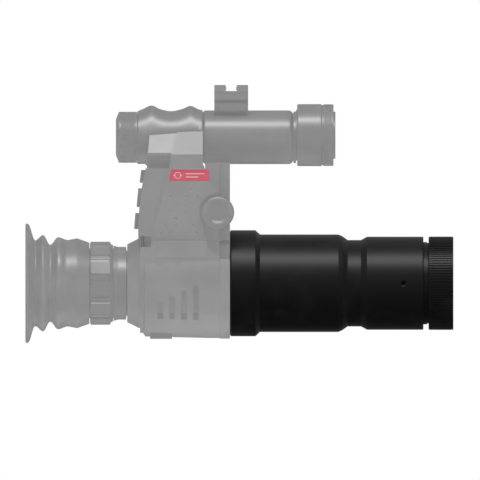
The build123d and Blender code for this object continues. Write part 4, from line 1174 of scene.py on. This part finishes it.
@dataclass
class Objective(SubAssembly):
    """Stepped black barrel, ribbed focusing ring, and the front glass in its cell."""

    ribs: int = 108
    rib_height: float = 0.38 * MM
    bore: float = 19.5 * MM
    crisp: float = 12.0

    def barrel(self) -> None:
        """Make the base ring, the main tube and the waisted front barrel."""
        base, tube, front = (Room.of(node) for node in ("objective_base", "objective_tube", "front_barrel"))
        start = Room.of("front_flange").high.x
        shoulder = base.high.x - 2.1 * MM
        ring = eased([(start, self.bore), (start, base.radius - 0.6 * MM), (start + 0.6 * MM, base.radius, 0.2 * MM),
                      (shoulder, base.radius, 0.15 * MM), (base.high.x, tube.radius + 0.05 * MM, 0.1 * MM),
                      (base.high.x, self.bore)])
        self.seat(lathe("base", ring, base.spindle, 256, self.crisp), "objective_base_ring", "housing", BLACK_METAL,
                  ["objective_base"])
        seam = tube.high.x
        body = eased([(base.high.x, self.bore), (base.high.x, tube.radius), (seam - 1.9 * MM, tube.radius, 0.2 * MM),
                      (seam, tube.radius - 0.85 * MM), (seam, self.bore - 1.6 * MM)])
        self.seat(lathe("tube", body, tube.spindle, 256, self.crisp), "objective_main_tube", "housing", BLACK_METAL,
                  ["objective_tube"])
        neck = Room.of("focus_ring").low.x - 2.4 * MM
        end = front.high.x
        nose = eased([(seam, self.bore - 1.6 * MM), (seam, tube.radius - 0.85 * MM),
                      (seam + 2.4 * MM, 20.2 * MM, 0.2 * MM),
                      (seam + 8.6 * MM, 20.2 * MM, 0.2 * MM), (seam + 11.5 * MM, 21.75 * MM, 0.15 * MM),
                      (neck - 0.3 * MM, 21.75 * MM, 0.2 * MM), (neck, 21.4 * MM), (neck, 19.25 * MM),
                      (neck + 1.7 * MM, 19.25 * MM), (neck + 1.7 * MM, 18.85 * MM), (neck + 2.45 * MM, 18.85 * MM),
                      (neck + 2.45 * MM, 19.23 * MM), (end, 19.23 * MM), (end, 16.62 * MM),
                      (seam + 1.0 * MM, 16.62 * MM), (seam + 1.0 * MM, self.bore - 1.6 * MM)])
        barrel = lathe("nose", nose, front.spindle, 256, self.crisp)
        hole = Room.of("guide_screw")
        drill = lathe("drill", eased([(-30 * MM, 0.0), (-30 * MM, 1.45 * MM), (-21.35 * MM, 1.45 * MM),
                                      (-21.2 * MM, 1.06 * MM), (-15 * MM, 1.06 * MM), (-15 * MM, 0.0)]),
                      Spindle(Vector((hole.middle.x, 0.0, hole.middle.z)), Way.ACROSS), 48)
        cut(barrel, drill)
        smooth(barrel.data, self.crisp)
        self.seat(barrel, "objective_front_barrel", "housing", BLACK_METAL, ["front_barrel"])

    def focus_ring(self) -> None:
        """Make the ribbed focusing ring."""
        room = Room.of("focus_ring")
        rear, front, radius = room.low.x, room.high.x, room.radius
        root, rim = radius - self.rib_height, 0.55 * MM
        outline = eased([(rear, 19.28 * MM), (rear, radius - 0.5 * MM), (rear + 0.3 * MM, radius - 0.1 * MM, 0.1 * MM),
                         (rear + rim, radius - 0.1 * MM), (rear + rim, root), (front - rim, root),
                         (front - rim, radius - 0.1 * MM), (front - 0.2 * MM, radius - 0.1 * MM, 0.1 * MM),
                         (front, radius - 0.4 * MM), (front, 18.6 * MM, 0.2 * MM), (front - 3.6 * MM, 18.6 * MM),
                         (front - 3.6 * MM, 18.0 * MM), (rear + 3.6 * MM, 18.0 * MM), (rear + 3.6 * MM, 19.28 * MM)])
        ring = lathe("ring", outline, room.spindle, 216)
        rib = prism("rib", 0.86 * MM, front - rear - 2 * rim + 0.1 * MM, self.rib_height, 0.62, 0.0, 0.15 * MM)
        RingPattern(self.ribs, root, room.middle.z, (rear + front) / 2).on(ring, rib, BLACK_METAL)
        self.seat(ring, "focus_ring_ribbed", "focus_ring", BLACK_METAL, ["focus_ring"])

    def build(self) -> None:
        """Make the objective."""
        self.barrel()
        self.focus_ring()
        self.dress_nodes(INNER_METAL, "objective_cell")
        self.dress_nodes(BLACK_METAL, "lens_retainer")
        self.dress_nodes(LENS_GLASS, "front_lens", "rear_doublet")
        # The guide screw wears painted shade: its near-black colour stands for the shadow inside the drilled guide
        # hole.
        self.dress_nodes(HOLE_SHADE_STEEL, "guide_screw")


@dataclass
class Torch(SubAssembly):
    """Battery tube with its knurled cap and finger grip, the infrared lamp and the accessory rail."""

    knurl: float = 0.95 * MM
    rail_foot: float = 4.5 * MM
    crest: tuple[tuple[float, float], ...] = (
        (0.0, 12.1 * MM), (2.6 * MM, 13.2 * MM), (6.7 * MM, 14.85 * MM), (10.6 * MM, 13.2 * MM),
        (15.8 * MM, 12.2 * MM), (20.9 * MM, 13.2 * MM), (24.9 * MM, 14.65 * MM), (28.4 * MM, 13.2 * MM),
        (30.6 * MM, 12.6 * MM))

    def crown(self, along: float) -> float:
        """Return the height of the grip's back over the tube's axis at a distance from its rear end."""
        for (x0, r0), (x1, r1) in zip(self.crest, self.crest[1:]):
            if along <= x1:
                t = (along - x0) / (x1 - x0)
                before = self.crest[max(self.crest.index((x0, r0)) - 1, 0)]
                after = self.crest[min(self.crest.index((x1, r1)) + 1, len(self.crest) - 1)]
                m0 = (r1 - before[1]) / max(x1 - before[0], 1e-9) * (x1 - x0)
                m1 = (after[1] - r0) / max(after[0] - x0, 1e-9) * (x1 - x0)
                return ((2 * t ** 3 - 3 * t ** 2 + 1) * r0 + (t ** 3 - 2 * t ** 2 + t) * m0
                        + (3 * t ** 2 - 2 * t ** 3) * r1 + (t ** 3 - t ** 2) * m1)
        return self.crest[-1][1]

    def grip(self) -> None:
        """Make the grip with two finger ridges on its back."""
        room, tube = Room.of("grip_sleeve"), Room.of("battery_tube")
        rear, front, side, axis = room.low.x, room.high.x, 12.5 * MM, tube.middle.z
        stations, segments, core = 62, 144, 10.8 * MM
        shape = bmesh.new()

        def ring(x: float, pull: float) -> list[bmesh.types.BMVert]:
            """Add one ring of the outer skin, drawn in by a small pull at its ends."""
            rise = self.crown(x - rear) - side
            verts = []
            for k in range(segments):
                angle = 2 * math.pi * k / segments
                folded = min(angle, 2 * math.pi - angle)
                spread = math.cos(min(folded / 1.25, 1.0) * math.pi / 2) ** 2
                radius = side + rise * spread - pull
                verts.append(shape.verts.new((x, -radius * math.sin(angle), axis + radius * math.cos(angle))))
            return verts

        rings = [ring(rear, 0.3 * MM), ring(rear + 0.25 * MM, 0.05 * MM)]
        rings += [ring(rear + 0.6 * MM + (front - rear - 1.2 * MM) * k / stations, 0.0)
                  for k in range(stations + 1)]
        rings += [ring(front - 0.25 * MM, 0.05 * MM), ring(front, 0.3 * MM)]
        for x in (front, rear):
            rings.append([shape.verts.new((x, -core * math.sin(2 * math.pi * k / segments),
                                           axis + core * math.cos(2 * math.pi * k / segments)))
                          for k in range(segments)])
        for first, second in zip(rings, rings[1:] + rings[:1]):
            for k in range(segments):
                following = (k + 1) % segments
                shape.faces.new((first[k], first[following], second[following], second[k]))
        self.seat(from_bmesh("grip", shape, 45.0), "grip_with_finger_ridges", "housing", GREY_METAL,
                  ["grip_sleeve"])

    def diamonds(self, host: bpy.types.Object, room: Room, x0: float, x1: float, root: float) -> None:
        """Cover a stretch of a turned piece with a diamond knurl.

        Args:
            host: The turned piece.
            room: The room of its CAD node.
            x0: Rear end of the stretch.
            x1: Front end of the stretch.
            root: Radius under the diamonds.
        """
        around = int(2 * math.pi * root / self.knurl)
        rows = max(int((x1 - x0) / (self.knurl / 2)) - 1, 1)
        half = self.knurl / 2
        shape = bmesh.new()
        tip = shape.verts.new((0.0, 0.0, room.radius - root))
        feet = [shape.verts.new(place) for place in ((half, 0, 0), (0, half, 0), (-half, 0, 0), (0, -half, 0))]
        for k in range(4):
            shape.faces.new((feet[k], feet[(k + 1) % 4], tip))
        shape.faces.new(feet[::-1])
        diamond = from_bmesh("diamond", shape, 20.0)
        pitch = (x1 - x0 - self.knurl) / max(rows - 1, 1)
        RingPattern(around, root - 0.02 * MM, room.middle.z, x0 + half, pitch, rows, 0.5).on(host, diamond,
                                                                                          GREY_METAL)

    def cap(self) -> None:
        """Make the knurled battery cap."""
        room = Room.of("battery_cap")
        rear, front, radius = room.low.x, room.high.x, room.radius
        root = radius - 0.22 * MM
        outline = eased([(rear, 0.0), (rear, radius - 3.7 * MM, 0.4 * MM),
                         (rear + 1.4 * MM, radius - 0.1 * MM, 0.2 * MM),
                         (rear + 1.9 * MM, radius - 0.1 * MM), (rear + 2.0 * MM, root), (front - 0.7 * MM, root),
                         (front - 0.6 * MM, radius - 0.05 * MM), (front - 0.1 * MM, radius - 0.05 * MM),
                         (front, radius - 0.3 * MM), (front, 10.8 * MM), (rear + 3.0 * MM, 10.8 * MM),
                         (rear + 3.0 * MM, 0.0)])
        cap = lathe("cap", outline, room.spindle, 144)
        self.diamonds(cap, room, rear + 2.0 * MM, front - 0.7 * MM, root)
        self.seat(cap, "battery_cap_knurled", "battery_cap", GREY_METAL, ["battery_cap"])

    def tube(self) -> None:
        """Make the plain front stretch of the battery tube with its thin core."""
        room, grip = Room.of("battery_tube"), Room.of("grip_sleeve")
        step = grip.high.x
        outline = eased([(room.low.x, 9.5 * MM), (room.low.x, 10.75 * MM), (step, 10.75 * MM),
                         (step, room.radius - 0.9 * MM), (step + 0.9 * MM, room.radius, 0.6 * MM),
                         (room.high.x - 1.4 * MM, room.radius, 1.0 * MM),
                         (room.high.x, room.radius - 1.5 * MM, 0.3 * MM),
                         (room.high.x, 10.5 * MM), (room.high.x - 5.0 * MM, 10.5 * MM),
                         (room.high.x - 5.0 * MM, 9.5 * MM)])
        self.seat(lathe("tube", outline, room.spindle, 192), "battery_tube_turned", "housing", GREY_METAL,
                  ["battery_tube"])

    def head(self) -> None:
        """Make the lamp head with its groove and knurled band, and its bezel."""
        room = Room.of("lamp_head")
        rear, front, radius = room.low.x, room.high.x, room.radius
        bore, groove = 11.95 * MM, front - 5.8 * MM
        outline = eased([(rear, bore), (rear, radius - 0.5 * MM), (rear + 0.4 * MM, radius, 0.2 * MM),
                         (groove, radius, 0.2 * MM), (groove + 0.35 * MM, radius - 0.45 * MM, 0.15 * MM),
                         (groove + 0.8 * MM, radius - 0.45 * MM, 0.15 * MM), (groove + 1.0 * MM, radius - 0.1 * MM),
                         (groove + 1.2 * MM, radius - 0.1 * MM), (groove + 1.25 * MM, radius - 0.24 * MM),
                         (front - 0.5 * MM, radius - 0.24 * MM), (front - 0.45 * MM, radius - 0.1 * MM),
                         (front - 0.1 * MM, radius - 0.1 * MM, 0.1 * MM), (front, radius - 0.4 * MM),
                         (front, 9.6 * MM), (front - 1.6 * MM, 9.6 * MM), (front - 1.6 * MM, bore)])
        head = lathe("head", outline, room.spindle, 192)
        self.diamonds(head, room, groove + 1.25 * MM, front - 0.5 * MM, radius - 0.24 * MM)
        self.seat(head, "lamp_head_knurled", "lamp_head", GREY_METAL, ["lamp_head"])
        bezel = Room.of("lamp_bezel")
        rim = eased([(bezel.low.x, 8.8 * MM), (bezel.low.x, bezel.radius), (bezel.high.x, bezel.radius, 0.35 * MM),
                     (bezel.high.x, 9.3 * MM, 0.2 * MM)])
        self.seat(lathe("bezel", rim, bezel.spindle, 144), "lamp_bezel_ring", "lamp_head", GREY_METAL,
                  ["lamp_bezel"])

    def rail(self) -> None:
        """Make the accessory rail, with its foot set back over the round tube."""
        room, tube = Room.of("accessory_rail"), Room.of("battery_tube")
        rail = softened("accessory_rail", 0.25 * MM)
        for side in (-1, 1):
            near, far = side * self.rail_foot, side * (room.high.y + 1.0 * MM)
            low = Vector((room.low.x - 1.0 * MM, min(near, far), room.low.z - 1.0 * MM))
            high = Vector((room.high.x + 1.0 * MM, max(near, far), tube.high.z))
            cut(rail, slab("notch", low, high))
        self.seat(evened(rail), "accessory_rail_milled", "housing", GREY_METAL, ["accessory_rail"])

    def build(self) -> None:
        """Make the torch and the rail."""
        self.grip()
        self.cap()
        self.tube()
        self.head()
        self.rail()
        self.dress_nodes(GREY_METAL, "lamp_neck")
        self.dress_nodes(INNER_METAL, "lamp_cell")
        self.dress_nodes(LAMP_GLASS, "lamp_lens")
        self.dress_nodes(CHIP, "lamp_emitter")
        self.dress_nodes(BATTERY_WRAP, "battery")
        self.dress_nodes(BRASS, "cap_contact")
        self.dress_nodes(STEEL, "contact_spring")


# ---------------------------------------------------------------- studio
@dataclass
class Studio:
    """Pale floor, soft lights and the camera."""

    floor_size: float = 12.0
    floor_drop: float = 0.0004
    frame_width: float = 0.2243
    aim: tuple[float, float] = (0.0369, 0.0462)
    strip_size: tuple[float, float] = (1.44, 0.24)
    strip_distance: float = 1.5
    strip_elevation: float = 60.0
    strip_power: float = 24.0
    strip_lighting_share: float = 0.35
    ambient: float = 0.10
    fill: float = 1.13
    fill_from_below: float = 0.20

    def floor(self) -> None:
        """Lay the floor just under the lowest point of the scope."""
        height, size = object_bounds()[0].z - self.floor_drop, self.floor_size
        shape = bmesh.new()
        bmesh.ops.create_grid(shape, x_segments=1, y_segments=1, size=size,
                              matrix=Matrix.Translation((0.0, 0.0, height)))
        floor = from_bmesh("floor", shape)
        floor.data.materials.append(FLOOR_FINISH.material())
        floor.visible_glossy = False
        floor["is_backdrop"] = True

    def hang(self, name: str, kind: str, away: Vector) -> bpy.types.Object:
        """Hang one light in a direction from the scope, facing it."""
        light = bpy.data.objects.new(name, bpy.data.lights.new(name, kind))
        bpy.context.scene.collection.objects.link(light)
        target = Vector((self.aim[0], 0.0, self.aim[1]))
        light.location = target + away * self.strip_distance
        light.rotation_euler = (-away).to_track_quat("-Z", "Y").to_euler()
        return light

    def strips(self) -> None:
        """Hang the long soft light over the scope's near side: one part lights, the other only glints."""
        rise = math.radians(self.strip_elevation)
        away = Vector((0.0, -math.cos(rise), math.sin(rise)))
        for name, share, lights in (("strip", self.strip_lighting_share, True),
                                    ("strip_glint", 1.0 - self.strip_lighting_share, False)):
            light = self.hang(name, "AREA", away)
            light.data.shape = "RECTANGLE"
            light.data.size, light.data.size_y = self.strip_size
            light.data.energy = self.strip_power * share
            light.visible_diffuse = lights

    def fills(self) -> None:
        """Hang an even set of weak fill lights all round, which cast no shadow and give no glint."""
        golden = (1.0 + math.sqrt(5.0)) / 2.0
        corners = [turned for a in (-1.0, 1.0) for b in (-golden, golden)
                   for turned in ((0.0, a, b), (a, b, 0.0), (b, 0.0, a))]
        for index, corner in enumerate(corners):
            away = Vector(corner).normalized()
            light = self.hang(f"fill_{index}", "SUN", away)
            light.data.energy = self.fill * (1.0 - self.fill_from_below * away.z)
            light.data.angle = math.radians(30.0)
            light.data.use_shadow = False
            light.visible_glossy = False

    def world(self) -> None:
        """Make a white surround that lights softly and shows darker downwards in reflections."""
        world = bpy.data.worlds.new("studio")
        bpy.context.scene.world = world
        world.use_nodes = True
        graph = Graph(world.node_tree)
        seen = graph.node("ShaderNodeLightPath", output="Is Camera Ray")
        glint = graph.node("ShaderNodeLightPath", output="Is Glossy Ray")
        height = graph.split(graph.node("ShaderNodeTexCoord", output="Generated"), "Z")
        mirrored = height.above(-1.0, 0.35) * 0.36 + 0.02
        strength = seen + (1.0 - seen) * (glint * mirrored + (1.0 - glint) * self.ambient)
        background = world.node_tree.nodes["Background"]
        background.inputs["Color"].default_value = (1.0, 1.0, 1.0, 1.0)
        world.node_tree.links.new(strength.socket, background.inputs["Strength"])

    def camera(self) -> None:
        """Set the level side camera, which has no perspective."""
        data = bpy.data.cameras.new("camera")
        data.type = "ORTHO"
        data.ortho_scale = self.frame_width
        data.clip_end = 60.0
        camera = bpy.data.objects.new("camera", data)
        bpy.context.scene.collection.objects.link(camera)
        camera.location = (self.aim[0], -1.2, self.aim[1])
        camera.rotation_euler = Euler((math.pi / 2, 0.0, 0.0))
        bpy.context.scene.camera = camera

    def build(self) -> None:
        """Make the studio."""
        bpy.context.scene.view_settings.view_transform = "Standard"
        self.camera()
        self.world()
        self.strips()
        self.fills()
        self.floor()


def main() -> None:
    """Load the frame, build every sub-assembly and finish."""
    logging.basicConfig(level=logging.INFO, format="%(message)s")
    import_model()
    Studio().build()
    makers: list[SubAssembly] = [Eyepiece(), CameraBody(), Tower(), Objective(), Torch()]
    for maker in makers:
        maker.build()
        for name in maker.made:
            piece = bpy.data.objects[name]
            LOG.info("%s: %s, %d faces", type(maker).__name__, name, len(piece.data.polygons))
    for name in (name for maker in makers for name in maker.made):
        worn = [material.name if material else "none" for material in bpy.data.objects[name].data.materials]
        if not worn or not all(label.startswith(FINISH_MARK) for label in worn):
            LOG.warning("%s wears %s", name, worn)


if __name__ == "__main__":
    main()
